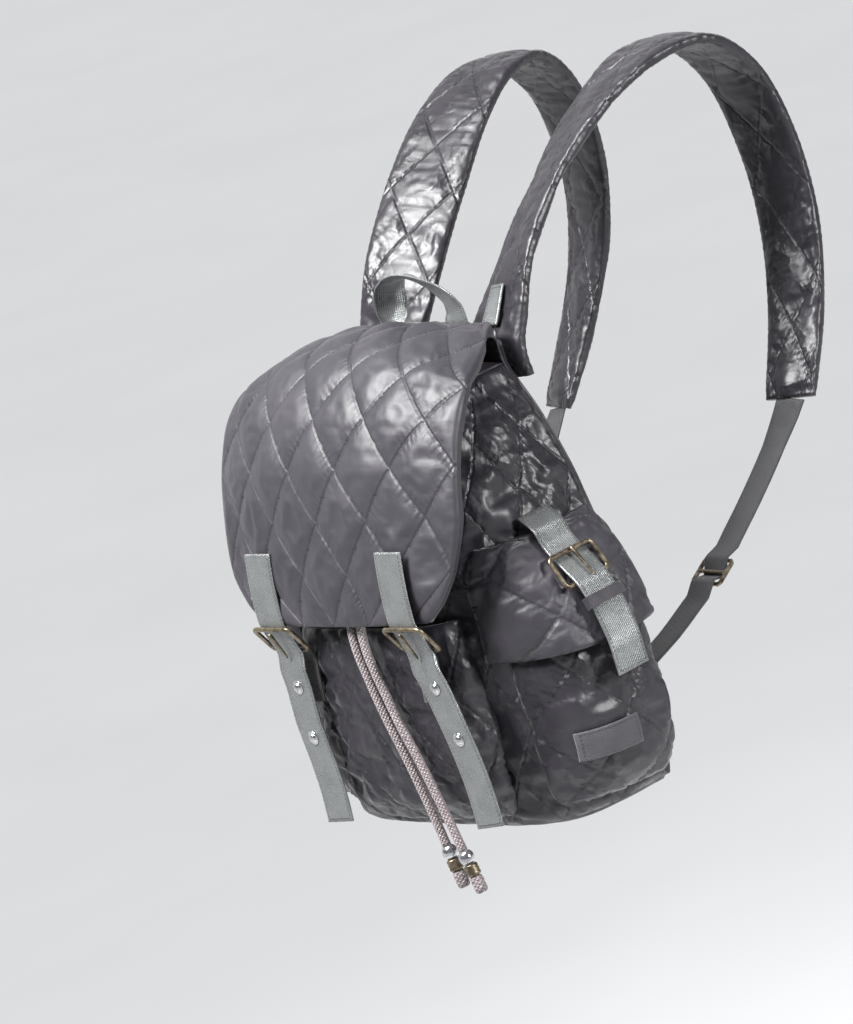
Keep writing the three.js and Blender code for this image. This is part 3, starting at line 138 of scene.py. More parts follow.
# ---- small geometry helpers
def vec(x, y, z):
    return np.array([x, y, z], float)


def unit(v):
    return v / (np.linalg.norm(v) + 1e-12)


def lerp(a, b, t):
    return a + (b - a) * t


def to_row(points):
    """Pack millimetres to row-frame metres."""
    return (np.asarray(points, float) + [0, PACK_Y, PACK_Z]) / 1000


def read(table, key, column, at):
    k, c = table[key], table[column]

    def slope(i):
        return (c[i + 1] - c[i]) / (k[i + 1] - k[i])

    def tangent(i):
        if i == 0:
            return slope(0)
        if i == len(k) - 1:
            return slope(i - 1)
        a, b = slope(i - 1), slope(i)
        return 0 if a * b <= 0 else 2 * a * b / (a + b)

    r = 0
    while r < len(k) - 2 and at > k[r + 1]:
        r += 1
    span = k[r + 1] - k[r]
    t = min(1, max(0, (at - k[r]) / span))
    base = (1 + 2 * t) * (1 - t) ** 2 * c[r] + t * t * (3 - 2 * t) * c[r + 1]
    return base + span * t * (1 - t) * ((1 - t) * tangent(r) - t * tangent(r + 1))


class Curve:
    """Centripetal Catmull-Rom curve through points."""

    def __init__(self, points):
        self.p = np.asarray(points, float)
        fine = np.linspace(0, 1, 1201)
        self.fine = np.array([self.at(t) for t in fine])
        steps = np.linalg.norm(np.diff(self.fine, axis=0), axis=1)
        self.reach = np.concatenate([[0], np.cumsum(steps)])
        self.length = self.reach[-1]
        self.ts = fine

    def at(self, t):
        n = len(self.p)
        s = (n - 1) * t
        i = min(int(math.floor(s)), n - 2)
        w = s - i
        p1, p2 = self.p[i], self.p[i + 1]
        p0 = self.p[i - 1] if i > 0 else 2 * self.p[0] - self.p[1]
        p3 = self.p[i + 2] if i + 2 < n else 2 * self.p[-1] - self.p[-2]
        d0, d1, d2 = (max(1e-4, np.linalg.norm(b - a) ** 0.5) for a, b in ((p0, p1), (p1, p2), (p2, p3)))
        t1 = ((p1 - p0) / d0 - (p2 - p0) / (d0 + d1) + (p2 - p1) / d1) * d1
        t2 = ((p2 - p1) / d1 - (p3 - p1) / (d1 + d2) + (p3 - p2) / d2) * d1
        return p1 + t1 * w + (-3 * p1 + 3 * p2 - 2 * t1 - t2) * w * w + (2 * p1 - 2 * p2 + t1 + t2) * w ** 3

    def tangent(self, t):
        a, b = max(0, t - 1e-4), min(1, t + 1e-4)
        return unit(self.at(b) - self.at(a))

    def share(self, s):
        return float(np.interp(s * self.length, self.reach, self.ts))

    def spaced(self, steps):
        return [self.at(self.share(i / steps)) for i in range(steps + 1)]


def evenly(path, count):
    path = np.asarray(path, float)
    step = np.linalg.norm(np.diff(path, axis=0), axis=1)
    reach = np.concatenate([[0], np.cumsum(step)])
    want = np.linspace(0, reach[-1], count + 1)
    return np.stack([np.interp(want, reach, path[:, k]) for k in range(path.shape[1])], 1)


def arch(half, reach, power, count, stop):
    """Superellipse arch over the x axis, from stop to stop, in even steps."""
    foot = half * (1 - (stop / reach) ** power) ** (1 / power)
    first = math.atan2(stop, foot)
    angle = np.linspace(first, math.pi - first, 321)
    spread = (np.abs(np.cos(angle)) / half) ** power + (np.abs(np.sin(angle)) / reach) ** power
    path = np.stack([np.cos(angle), np.sin(angle)], 1) * (spread ** (-1 / power))[:, None]
    path[0, 1] = path[-1, 1] = stop
    return evenly(path, count)


def body_half(z):
    return BODY_WIDTH / 2 * read(BODY, "up", "wide", z / BODY_HEIGHT)


def body_reach(z):
    return BODY_DEPTH * read(BODY, "up", "deep", z / BODY_HEIGHT)


def body_front(x, z):
    s = min(1, abs(x / body_half(z)))
    return -body_reach(z) * (1 - s ** BODY_CORNER) ** (1 / BODY_CORNER)


def body_side(y, z):
    s = min(1, abs(y / body_reach(z)))
    return body_half(z) * (1 - s ** BODY_CORNER) ** (1 / BODY_CORNER)


def quilt_steps(length, diamond):
    return 4 * max(1, round(length / diamond))


def pillow(u, v, power=0.42):
    """Puff of the quilting at lattice place u, v: 0 on the seams, 1 inside the diamonds."""
    a = np.abs(np.cos(np.pi * (u + v)) * np.cos(np.pi * (u - v)))
    return a ** power


# ---- meshes
def add_object(name, verts, faces, smooth=True):
    mesh = bpy.data.meshes.new(name)
    mesh.from_pydata([tuple(v) for v in verts], [], faces)
    mesh.update()
    if smooth:
        mesh.polygons.foreach_set("use_smooth", [True] * len(mesh.polygons))
    obj = bpy.data.objects.new(name, mesh)
    scene.collection.objects.link(obj)
    return obj


def outward(obj):
    """Turns a closed mesh's faces outwards."""
    mesh = obj.data
    co = np.empty(len(mesh.vertices) * 3)
    mesh.vertices.foreach_get("co", co)
    co = co.reshape(-1, 3)
    volume = 0.0
    for p in mesh.polygons:
        v = co[list(p.vertices)]
        for k in range(1, len(v) - 1):
            volume += float(np.dot(v[0], np.cross(v[k], v[k + 1])))
    if volume < 0:
        mesh.flip_normals()
    return obj


def store(obj, name, values):
    values = np.asarray(values, float)
    kind = "FLOAT" if values.ndim == 1 else "FLOAT_VECTOR"
    attribute = obj.data.attributes.new(name, kind, "POINT")
    attribute.data.foreach_set("value" if values.ndim == 1 else "vector", values.ravel())


def shell(name, outer, inner, wraps=False, marks=None):
    """Closed sheet between two grids of row-frame points. The marks are given on the outer grid."""
    rows, cols = outer.shape[:2]
    n = rows * cols
    verts = np.concatenate([outer.reshape(-1, 3), inner.reshape(-1, 3)])
    faces = []
    cells = cols if wraps else cols - 1

    def o(j, i):
        return j * cols + i % cols

    def q(j, i):
        return n + j * cols + i % cols

    for j in range(rows - 1):
        for i in range(cells):
            faces.append((o(j, i), o(j, i + 1), o(j + 1, i + 1), o(j + 1, i)))
            faces.append((q(j + 1, i), q(j + 1, i + 1), q(j, i + 1), q(j, i)))
    top = rows - 1
    for i in range(cells):
        faces.append((o(0, i + 1), o(0, i), q(0, i), q(0, i + 1)))
        faces.append((o(top, i), o(top, i + 1), q(top, i + 1), q(top, i)))
    if not wraps:
        for j in range(top):
            faces.append((o(j, 0), o(j + 1, 0), q(j + 1, 0), q(j, 0)))
            faces.append((o(j + 1, cells), o(j, cells), q(j, cells), q(j + 1, cells)))
    obj = outward(add_object(name, verts, faces))
    for key, values in (marks or {}).items():
        values = np.asarray(values, float)
        flat = values.reshape(n, -1) if values.ndim == 3 else values.reshape(n)
        store(obj, key, np.concatenate([flat, flat]))
    return obj


def loft(name, sections, marks=None):
    """Closed solid through sections of equal counts, in row-frame metres."""
    sections = np.asarray(sections, float)
    count, sides = sections.shape[:2]
    faces = []
    for j in range(count - 1):
        for i in range(sides):
            a, b = j * sides + i, j * sides + (i + 1) % sides
            faces.append((a, b, b + sides, a + sides))
    faces.append(tuple(range(sides))[::-1])
    faces.append(tuple(range((count - 1) * sides, count * sides)))
    obj = outward(add_object(name, sections.reshape(-1, 3), faces))
    for key, values in (marks or {}).items():
        store(obj, key, np.asarray(values, float).reshape(count * sides, -1))
    return obj


def lathe(name, profile, place, direction):
    """Turned solid: (radius, height) pairs in mm along a direction from a place in pack mm."""
    axis = unit(np.asarray(direction, float))
    side = unit(np.cross(axis, [0.3, 0.2, 1.0]))
    other = np.cross(axis, side)
    sections = []
    for r, h in profile:
        r = max(r, 0.02)
        ring = [place + axis * h + side * r * math.cos(a) + other * r * math.sin(a)
                for a in np.linspace(0, 2 * math.pi, LATHE_SIDES, endpoint=False)]
        sections.append(to_row(ring))
    return loft(name, sections)


def settle(name, grid, pins):
    """Runs pressed cloth over a grid of row-frame points and gives back the settled grid."""
    rows, cols = grid.shape[:2]
    values = CLOTH[name]
    faces = [(j * cols + i, j * cols + i + 1, (j + 1) * cols + i + 1, (j + 1) * cols + i)
             for j in range(rows - 1) for i in range(cols - 1)]
    obj = add_object(name + "_cloth", grid.reshape(-1, 3), faces)
    obj.vertex_groups.new(name="pin").add(np.flatnonzero(pins).tolist(), 1, "REPLACE")
    cloth = obj.modifiers.new("cloth", "CLOTH")
    settings = dict(
        quality=5, mass=0.12, air_damping=4, tension_stiffness=CLOTH_STIFF, compression_stiffness=CLOTH_STIFF,
        shear_stiffness=CLOTH_STIFF / 3, bending_stiffness=values["bend"], use_pressure=True,
        uniform_pressure_force=values["pressure"], shrink_min=-values["grow"], vertex_group_mass="pin",
    )
    for key, value in settings.items():
        setattr(cloth.settings, key, value)
    cloth.settings.effector_weights.gravity = 0
    cloth.collision_settings.use_collision = False
    cloth.point_cache.frame_start, cloth.point_cache.frame_end = 1, CLOTH_FRAMES
    for frame_number in range(1, CLOTH_FRAMES + 1):
        scene.frame_set(frame_number)
    settled = obj.evaluated_get(bpy.context.evaluated_depsgraph_get()).to_mesh()
    co = np.empty(grid.size)
    settled.vertices.foreach_get("co", co)
    scene.frame_set(1)
    mesh = obj.data
    bpy.data.objects.remove(obj)
    bpy.data.meshes.remove(mesh)
    move = co.reshape(grid.shape) - grid
    size = np.linalg.norm(move, axis=2, keepdims=True)
    return grid + move * np.minimum(1, values["cap"] / np.maximum(size, 1e-9))


def finish_piece(obj, material, slot, *nodes):
    obj.data.materials.clear()
    obj.data.materials.append(material)
    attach(obj, "root")
    if nodes:
        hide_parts(*nodes)
    return obj


def new_grids(rows, cols):
    """Outer, inner and quilt-mark grids, and the pins of the cloth."""
    outer, inner, quilt = np.zeros((3, rows + 1, cols + 1, 3))
    return outer, inner, quilt, np.zeros((rows + 1, cols + 1))


def padded_piece(name, outer, inner, quilt, material, slot, node_name):
    obj = shell(name, outer, inner, marks={"quilt": quilt})
    finish_piece(obj, material, slot, node_name)


# ---- materials
class Field:
    """A socket of a node tree that takes part in sums."""

    def __init__(self, tree, socket):
        self.tree, self.socket = tree, socket

    def to(self, operation, *others):
        return combine(self.tree, operation, self, *others)

    def __add__(self, other):
        return self.to("ADD", other)

    def __sub__(self, other):
        return self.to("SUBTRACT", other)

    def __rsub__(self, other):
        return combine(self.tree, "SUBTRACT", other, self)

    def __mul__(self, other):
        return self.to("MULTIPLY", other)

    def __abs__(self):
        return self.to("ABSOLUTE")


def plug(tree, value, socket):
    if isinstance(value, Field):
        tree.links.new(value.socket, socket)
    else:
        socket.default_value = (*value, 1) if isinstance(value, tuple) else value


def combine(tree, operation, *terms):
    n = tree.nodes.new("ShaderNodeMath")
    n.operation = operation
    for k, term in enumerate(terms):
        plug(tree, term, n.inputs[k])
    return Field(tree, n.outputs[0])


def ramp(field, *stops):
    n = field.tree.nodes.new("ShaderNodeValToRGB")
    elements = n.color_ramp.elements
    for element, (place, colour) in ((elements[0], stops[0]), (elements[1], stops[-1])):
        element.position, element.color = place, (*colour, 1)
    for place, colour in stops[1:-1]:
        elements.new(place).color = (*colour, 1)
    plug(field.tree, field, n.inputs[0])
    return Field(field.tree, n.outputs[0])


def near(field, slope):
    """1 where the field is 0, falling to 0 at 1 / slope."""
    return 1 - (field * slope).to("MINIMUM", 1)


def scaled(colour, share):
    return tuple(c * share for c in colour)


class Surface:
    """A material, with the colour and the normal that are built up in it."""

    def __init__(self, name):
        self.material = bpy.data.materials.new(name)
        self.material.use_nodes = True
        self.tree = self.material.node_tree
        self.inputs = self.tree.nodes["Principled BSDF"].inputs
        self.colour = self.normal = None

    def make(self, kind, inputs, out=0, **settings):
        n = self.tree.nodes.new(kind)
        for key, value in settings.items():
            setattr(n, key, value)
        for key, value in inputs.items():
            plug(self.tree, value, n.inputs[key])
        return Field(self.tree, n.outputs[out])

    def place(self):
        return self.make("ShaderNodeTexCoord", {}, "Object")

    def noise(self, scale, detail=4, rough=0.55, stretch=None):
        at = self.place()
        if stretch:
            at = self.make("ShaderNodeMapping", {"Vector": at, "Scale": Vector(stretch)})
        inputs = {"Vector": at, "Scale": scale, "Detail": detail, "Roughness": rough}
        return self.make("ShaderNodeTexNoise", inputs, "Fac")

    def wave(self, scale, direction):
        inputs = {"Vector": self.place(), "Scale": scale, "Distortion": 0.6}
        return self.make("ShaderNodeTexWave", inputs, "Fac", wave_type="BANDS", bands_direction=direction)

    def mark(self, name):
        """The three parts of a point attribute."""
        n = self.tree.nodes.new("ShaderNodeSeparateXYZ")
        plug(self.tree, self.make("ShaderNodeAttribute", {}, "Vector", attribute_name=name), n.inputs[0])
        return [Field(self.tree, out) for out in n.outputs]

    def bump(self, height, strength, distance):
        inputs = {"Height": height, "Strength": strength, "Distance": distance}
        if self.normal:
            inputs["Normal"] = self.normal
        self.normal = self.make("ShaderNodeBump", inputs)

    def tint(self, share, colour):
        self.colour = self.make("ShaderNodeMix", {0: share, 6: self.colour, 7: colour}, 2, data_type="RGBA")

    def finish(self, rough):
        for key, value in (("Base Color", self.colour), ("Roughness", rough), ("Normal", self.normal)):
            plug(self.tree, value, self.inputs[key])
        return self.material


def sew(s, tone, patches, dark, light):
    """Sunk, puckered seams with dashed thread along both ways of the quilting; the seam grooves are darkened
    with painted shade.
    """
    u, v, _ = s.mark("quilt")
    rising, falling = u + v, u - v

    def seam(across, along):
        off = abs(across.to("FRACT") - 0.5)
        thread = off.to("LESS_THAN", 0.008) * (along * 17).to("FRACT").to("LESS_THAN", 0.66)
        pucker = (along * 52 + tone * 40).to("SINE") * near(off, 5)
        return thread, near(off, 22), pucker

    thread_a, seam_shade_a, pucker_a = seam(rising, falling)
    thread_b, seam_shade_b, pucker_b = seam(falling, rising)
    thread, seam_shade = thread_a.to("MAXIMUM", thread_b), seam_shade_a.to("MAXIMUM", seam_shade_b)
    s.bump((pucker_a + pucker_b) * patches, 0.16, 0.0011)
    # painted shade: the colour darkens along the sunk seam grooves, where shadow falls between the puffs
    s.tint(seam_shade * 0.55, scaled(dark, 0.45))
    s.tint(thread * 0.5, scaled(light, 1.3))
    s.bump(thread * 0.12 - seam_shade, 0.5, 0.0012)


def puffer_material(name, dark, light, rough, quilted=True, wrinkle=0.5):
    """Satin padded nylon: fine weave and crinkles, and seams where it is quilted."""
    s = Surface(name)
    tone = s.noise(18, 5)
    s.colour = ramp(tone, (0.3, dark), (0.72, light))
    patches = ramp(s.noise(22, 2), (0.42, (0.15, 0.15, 0.15)), (0.62, (1, 1, 1)))

    def creases(scale, stretch):
        return near(abs(s.noise(scale, 2, 0.5, stretch) - 0.5), 5) * patches

    s.bump(s.wave(900, "DIAGONAL") * s.wave(1100, "Z"), 0.06, 0.0003)
    s.bump(s.noise(260, 3, 0.5), 0.05, 0.0004)
    s.bump(creases(26, (1, 1, 0.45)), wrinkle, 0.0026)
    s.bump(creases(58, (0.7, 1, 1)), wrinkle * 0.7, 0.0014)
    if quilted:
        sew(s, tone, patches, dark, light)
    s.inputs["Sheen Weight"].default_value = 0.12
    s.inputs["Sheen Roughness"].default_value = 0.3
    s.inputs["Specular IOR Level"].default_value = 0.7
    return s.finish(tone * 0.16 + (rough - 0.08))


def webbing_material(name, dark, light, rough, ribs=1.6, sheen=0.25, metallic=0.0):
    """Woven tape: ribs, slanted picks and a row of stitches inside its edges. Reads the tape mark in mm."""
    s = Surface(name)
    across, along, edge = s.mark("tape")
    rib = (across * (2 * math.pi / ribs)).to("SINE")
    pick = (along * (2 * math.pi / 1.3) + across * 1.2).to("SINE")
    tone = s.noise(60, 4, 0.6)
    s.colour = ramp(tone, (0.3, dark), (0.7, light))
    s.tint(s.noise(420, 2, 0.5) * 0.12, scaled(dark, 0.7))
    stitch = abs(edge - 2.2).to("LESS_THAN", 0.42) * (along * 0.33).to("FRACT").to("LESS_THAN", 0.64)
    s.tint(stitch * 0.85, scaled(dark, 0.3))
    s.bump((rib + 1.4) * (pick + 1.6), 0.3, 0.0005)
    s.bump(stitch, 0.5, 0.0005)
    s.bump(s.noise(45, 3), 0.1, 0.0012)
    s.inputs["Sheen Weight"].default_value = sheen
    s.inputs["Metallic"].default_value = metallic
    s.inputs["Specular IOR Level"].default_value = 0.6
    return s.finish(tone * 0.2 + (rough - 0.1))


def metal_material(name, deep, bright, rough, patina):
    s = Surface(name)
    stain = s.noise(180, 5, 0.65)
    s.colour = ramp(stain, (0.34, deep), (0.62, bright))
    s.bump(s.noise(300, 3, 0.5, (1, 6, 1)), 0.12, 0.0003)
    s.inputs["Metallic"].default_value = 0.92
    return s.finish(stain * patina + rough)


def cord_material():
    """Braid in two yarns, read from the tape mark: angle, and length in mm."""
    s = Surface("braided_cord")
    turn, along, _ = s.mark("tape")
    plait = ((turn * 6 + along * 2.1).to("SINE") + 1) * ((turn * 6 - along * 2.1).to("SINE") + 1)
    melange = s.noise(520, 3, 0.7)
    s.colour = ramp(melange, (0.3, (0.16, 0.125, 0.13)), (0.5, (0.34, 0.285, 0.29)), (0.72, (0.6, 0.53, 0.53)))
    # painted shade: the hollows between the braid's yarns are tinted darker
    s.tint(near(plait, 1) * 0.55, (0.07, 0.055, 0.06))
    s.bump(plait, 0.6, 0.0009)
    s.bump(s.noise(900, 2), 0.3, 0.0004)
    s.inputs["Sheen Weight"].default_value = 0.3
    return s.finish(melange * 0.2 + 0.6)


PUFFER = puffer_material("puffer_nylon", (0.026, 0.024, 0.031), (0.046, 0.042, 0.053), 0.5, wrinkle=0.16)
# The puffer nylon with more crinkles, made about half as dark: its darker colours are painted shade on the
# body, pockets, panels and straps, which are the same cloth as the flap.
CRINKLED_SHADED = puffer_material("crinkled_shaded_nylon", (0.014, 0.0125, 0.017), (0.03, 0.027, 0.035), 0.4, wrinkle=0.75)
PLAIN = puffer_material("plain_nylon", (0.02, 0.018, 0.024), (0.042, 0.038, 0.049), 0.42, False, 0.7)
SILVER = webbing_material("silver_webbing", (0.19, 0.2, 0.2), (0.26, 0.272, 0.272), 0.28, 1.6, 0.15, 0.55)
BLACK = webbing_material("black_webbing", (0.012, 0.012, 0.014), (0.035, 0.035, 0.04), 0.6)
LABEL = webbing_material("label_cloth", (0.055, 0.055, 0.062), (0.09, 0.09, 0.1), 0.55, ribs=0.9)
ANTIQUE = metal_material("antique_metal", (0.075, 0.06, 0.04), (0.31, 0.26, 0.185), 0.24, 0.3)
BRIGHT = metal_material("bright_metal", (0.42, 0.42, 0.43), (0.75, 0.76, 0.78), 0.12, 0.15)
BRAID = cord_material()

# ---- camera, at the photograph's viewing angle on a leaning pack
AZIMUTH, LEAN, ELEVATION = math.radians(51), math.radians(22), math.radians(-1)
DISTANCE, SPAN, SENSOR = 4.5, 0.745, 36
AIM = Vector(to_row([18, -64, 232]))


def unlean(v):
    c, s = math.cos(LEAN), math.sin(LEAN)
    return Vector((v[0], c * v[1] + s * v[2], -s * v[1] + c * v[2]))


level = math.cos(ELEVATION)
look = unlean((-math.sin(AZIMUTH) * level, math.cos(AZIMUTH) * level, -math.sin(ELEVATION)))
side = unlean((math.cos(AZIMUTH), math.sin(AZIMUTH), 0))
above = side.cross(look)
camera = bpy.data.objects.new("camera", bpy.data.cameras.new("camera"))
scene.collection.objects.link(camera)
turned = Matrix((side, above, -look)).transposed().to_4x4()
camera.matrix_world = Matrix.Translation(AIM - look * DISTANCE) @ turned
camera.data.sensor_fit, camera.data.sensor_height = "VERTICAL", SENSOR
camera.data.lens, camera.data.clip_end = SENSOR * DISTANCE / SPAN, 60
scene.camera = camera

# ---- drawcords and what ends them
CORD_STEPS, CORD_SIDES = 170, 20
EYELET = [(4.2, 0), (7.4, 0), (7.5, 0.5), (7.0, 1.3), (6.0, 1.6), (4.8, 1.6), (4.2, 1.2), (4.2, 0.02)]
BEAD = [(0, 0), (3.4, 0), (4.6, 0.8), (5.7, 2.6), (6, 5), (5.7, 7.4), (4.6, 9.2), (3.4, 10), (0, 10)]
BAND = [(0, 0), (4.2, 0), (5.2, 0.7), (5.4, 2), (5.0, 3.2), (5.5, 4.5), (5.0, 5.8), (5.4, 7), (5.2, 8.3),
        (4.2, 9), (0, 9)]
KNOT = [(0, 0), (3.9, 0), (4.7, 1.4), (5, 4), (4.7, 7), (4.9, 9.5), (4.4, 12), (3.2, 13), (0, 13)]
CORD_ENDS = [
    ("bead", BEAD, BRIGHT, "bright_metal", "cord_bead"),
    ("band", BAND, ANTIQUE, "antique_metal", "cord_collar"),
    ("knot", KNOT, BRAID, "cord_cotton", "cord_knob"),
]


def cord_mesh(name, curve, places):
    sections, marks = [], []
    reference = vec(1, 0, 0)
    for j, place in enumerate(places):
        run = unit(places[min(j + 1, CORD_STEPS)] - places[max(j - 1, 0)])
        reference = unit(reference - run * np.dot(reference, run))
        other = np.cross(run, reference)
        ring, mark = [], []
        for k in range(CORD_SIDES):
            a = 2 * math.pi * k / CORD_SIDES
            bulge = 1 + 0.035 * math.sin(3 * a + j * 1.1) * math.sin(3 * a - j * 1.1)
            r = CORD_D / 2 * (bulge - 0.02)
            ring.append(place + reference * r * math.cos(a) + other * r * math.sin(a))
            mark.append((a, curve.length * j / CORD_STEPS, 0))
        sections.append(to_row(ring))
        marks.append(mark)
    return loft(f"cord_{name}", sections, {"tape": marks})


for name, points in CORDS.items():
    curve = Curve(points)
    places = np.array(curve.spaced(CORD_STEPS))
    cord = finish_piece(cord_mesh(name, curve, places), BRAID, "cord_cotton", f"drawcord_{name}")
    start, end = curve.tangent(0), curve.tangent(1)
    eyelet = lathe(f"eyelet_{name}", EYELET, places[0] - start * 1.8, start)
    finish_piece(eyelet, ANTIQUE, "antique_metal", f"cord_eyelet_{name}")
    at = places[-1] + end * SEAM_GAP
    ends = []
    for word, profile, material, slot, node_name in CORD_ENDS:
        turned = lathe(f"{word}_{name}", profile, at, end)
        ends.append(finish_piece(turned, material, slot, f"{node_name}_{name}"))
        at = at + end * (profile[-1][1] + SEAM_GAP)
    turns = np.tile(np.linspace(0, 2 * math.pi, LATHE_SIDES, endpoint=False), len(KNOT))
    heights = np.repeat([h for _, h in KNOT], LATHE_SIDES)
    store(ends[-1], "tape", np.stack([turns, heights, heights * 0], 1))
    path = [tuple(p) for p in to_row(places[::5])]
    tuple(path[0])


# ---- body wall
def slack_depth(turn, up):
    depth = 0
    for place, height, wide, tall, deep in FOLDS:
        depth += deep * math.exp(-(((abs(turn) - place) / wide) ** 2 + ((up - height) / tall) ** 2))
    return depth * BODY_WALL


def make_body():
    lattice_cols = quilt_steps(BODY_WIDTH + 2 * (BODY_DEPTH - 2 * WALL_REAR), DIAMOND_W)
    lattice_rows = quilt_steps(BODY_HEIGHT, DIAMOND_H)
    cols, rows = lattice_cols * 4, lattice_rows * 6
    outer, inner, quilt, pins = new_grids(rows, cols)
    for j in range(rows + 1):
        z = lerp(BASE_THICK + SEAM_GAP, BODY_HEIGHT, j / rows)
        half, reach = body_half(z), body_reach(z)
        skin = arch(half, reach, BODY_CORNER, cols, WALL_REAR)
        lining = arch(half - BODY_WALL, reach - BODY_WALL, BODY_CORNER, cols, WALL_REAR)
        run = np.gradient(skin, axis=0)
        run /= np.linalg.norm(run, axis=1, keepdims=True)
        for i in range(cols + 1):
            u, v = i * lattice_cols / cols / 4, (j * lattice_rows / rows + 2) / 4
            puff = float(pillow(u, v))
            rim = min(i, cols - i, j, rows - j)
            slack = slack_depth(2 * i / cols - 1, j / rows) * min(1, rim / 4)
            dent = slack + BODY_QUILT * (1 - puff) if rim > 0 else BODY_QUILT / 2
            inward = np.array([-run[i, 1], run[i, 0]])
            if i in (0, cols):
                inward = np.array([-np.sign(skin[i, 0]), 0])
            outer[j, i, :2] = skin[i] * [1, -1] + inward * dent
            inner[j, i, :2] = lining[i] * [1, -1] + inward * slack
            outer[j, i, 2] = inner[j, i, 2] = z
            quilt[j, i] = (u, v, 0)
            pins[j, i] = rim < 1 or puff < SEAM_PUFF
    outer = settle("body", to_row(outer), pins)
    padded_piece("padded_body", outer, to_row(inner), quilt, CRINKLED_SHADED, "puffer_nylon", "body_wall")


make_body()

# ---- flap
FLAP_REACH = BODY_DEPTH + FRONT_REACH + POCKET_WALL + FLAP_OFF
FLAP_CROWN = COLLAR_TOP + FLAP_RISE
root = vec(0, -FLAP_INSET, COLLAR_TOP + SEAM_GAP)
flap_curve = Curve([root, root + [0, -0.2, HAUL_SEWN / 2], root + [0, -0.8, HAUL_SEWN]]
                   + [vec(0, -out * FLAP_REACH, lerp(FLAP_LOW, FLAP_CROWN, up)) for out, up in FLAP_LINE])


def flap_frame(along):
    t = flap_curve.share(along)
    run = flap_curve.tangent(t)
    return flap_curve.at(t), vec(0, run[2], -run[1])


def flap_place(across, along, below):
    place, normal = flap_frame(along)
    half = FLAP_WIDTH / 2 * read(SPREAD, "along", "wide", along)
    droop = FLAP_DROOP * read(SPREAD, "along", "droop", along)
    return place - normal * (droop * abs(across) ** 2.2 + below) + [across * half, 0, 0]


def make_flap():
    lattice_cols = quilt_steps(FLAP_WIDTH, DIAMOND_W)
    lattice_rows = quilt_steps(flap_curve.length, DIAMOND_H)
    cols, rows = lattice_cols * 5, lattice_rows * 7
    outer, inner, quilt, pins = new_grids(rows, cols)
    for j in range(rows + 1):
        along = j / rows
        half = FLAP_WIDTH / 2 * read(SPREAD, "along", "wide", along)
        for i in range(cols + 1):
            across = 2 * i / cols - 1
            u, v = across * lattice_cols / 8, (along * lattice_rows + 2) / 4
            puff = float(pillow(u, v))
            rim = min(i, cols - i, j, rows - j)
            edge = min(1, rim / 3)
            dent = FLAP_QUILT * ((1 - puff) * edge + 0.5 * (1 - edge)) * min(1, j / 4)
            outer[j, i] = flap_place(across, along, dent)
            inner[j, i] = flap_place(across, along, FLAP_THICK)
            quilt[j, i] = (u, v, 0)
            strap = abs(abs(across * half) - WEB_SPACING / 2) < WEB_W / 2 + 3 and along > 0.82
            pins[j, i] = rim < 1 or puff < SEAM_PUFF or strap or along < 0.06
    outer = settle("flap", to_row(outer), pins)
    padded_piece("padded_flap", outer, to_row(inner), quilt, PUFFER, "puffer_nylon", "flap")


make_flap()


# ---- pockets
def on_front(across, out, z):
    return vec(across, body_front(across, z) + FRONT_SEAT - out, z)


def on_side(across, out, z):
    y = -SIDE_BACK + across
    return vec(body_side(y, z) + out, y, z)


def flip_x(points):
    points = np.array(points)
    points[..., 0] *= -1
    return points


def held_down(across, z, patches):
    return any(x0 < across < x1 and z0 < z < z1 for x0, x1, z0, z1 in patches)


def pocket_grids(width, low, height, reach, lay_on, patches):
    lattice_cols = quilt_steps(width + reach, DIAMOND_W)
    lattice_rows = quilt_steps(height, DIAMOND_H)
    cols, rows = lattice_cols * 4, lattice_rows * 6
    outer, inner, quilt, pins = new_grids(rows, cols)
    for j in range(rows + 1):
        up = (j / rows) ** 1.25
        out = max(0.004, read(POCKET, "up", "out", up))
        half = width / 2 * read(POCKET, "up", "wide", up)
        skin = arch(half, (reach + POCKET_WALL) * out, POCKET_CORNER, cols, 0)
        lining = arch(half - POCKET_WALL, reach * out, POCKET_CORNER, cols, 0)
        high = low + up * height
        floor_z = low + POCKET_WALL + up * (height - POCKET_WALL)
        for i in range(cols + 1):
            u, v = i * lattice_cols / cols / 4, (j * lattice_rows / rows + 2) / 4
            puff = float(pillow(u, v))
            rim = min(i, cols - i, j, rows - j)
            dent = POCKET_QUILT * (1 - puff) * out * min(1, rim / 2)
            keep = 1 - dent / max(1e-6, np.hypot(*skin[i]))
            outer[j, i] = lay_on(skin[i, 0] * keep, SEAM_GAP + skin[i, 1] * keep, high)
            inner[j, i] = lay_on(lining[i, 0], SEAM_GAP + lining[i, 1], floor_z)
            quilt[j, i] = (u, v, 0)
            pins[j, i] = rim < 1 or puff < SEAM_PUFF or held_down(skin[i, 0], high, patches)
    return to_row(outer), to_row(inner), quilt, pins


outer, inner, quilt, pins = pocket_grids(FRONT_W, FRONT_LOW, FRONT_H, FRONT_REACH, on_front, [])
outer = settle("front_pocket", outer, pins)
padded_piece("padded_front_pocket", outer, inner, quilt, CRINKLED_SHADED, "puffer_nylon", "front_pocket")

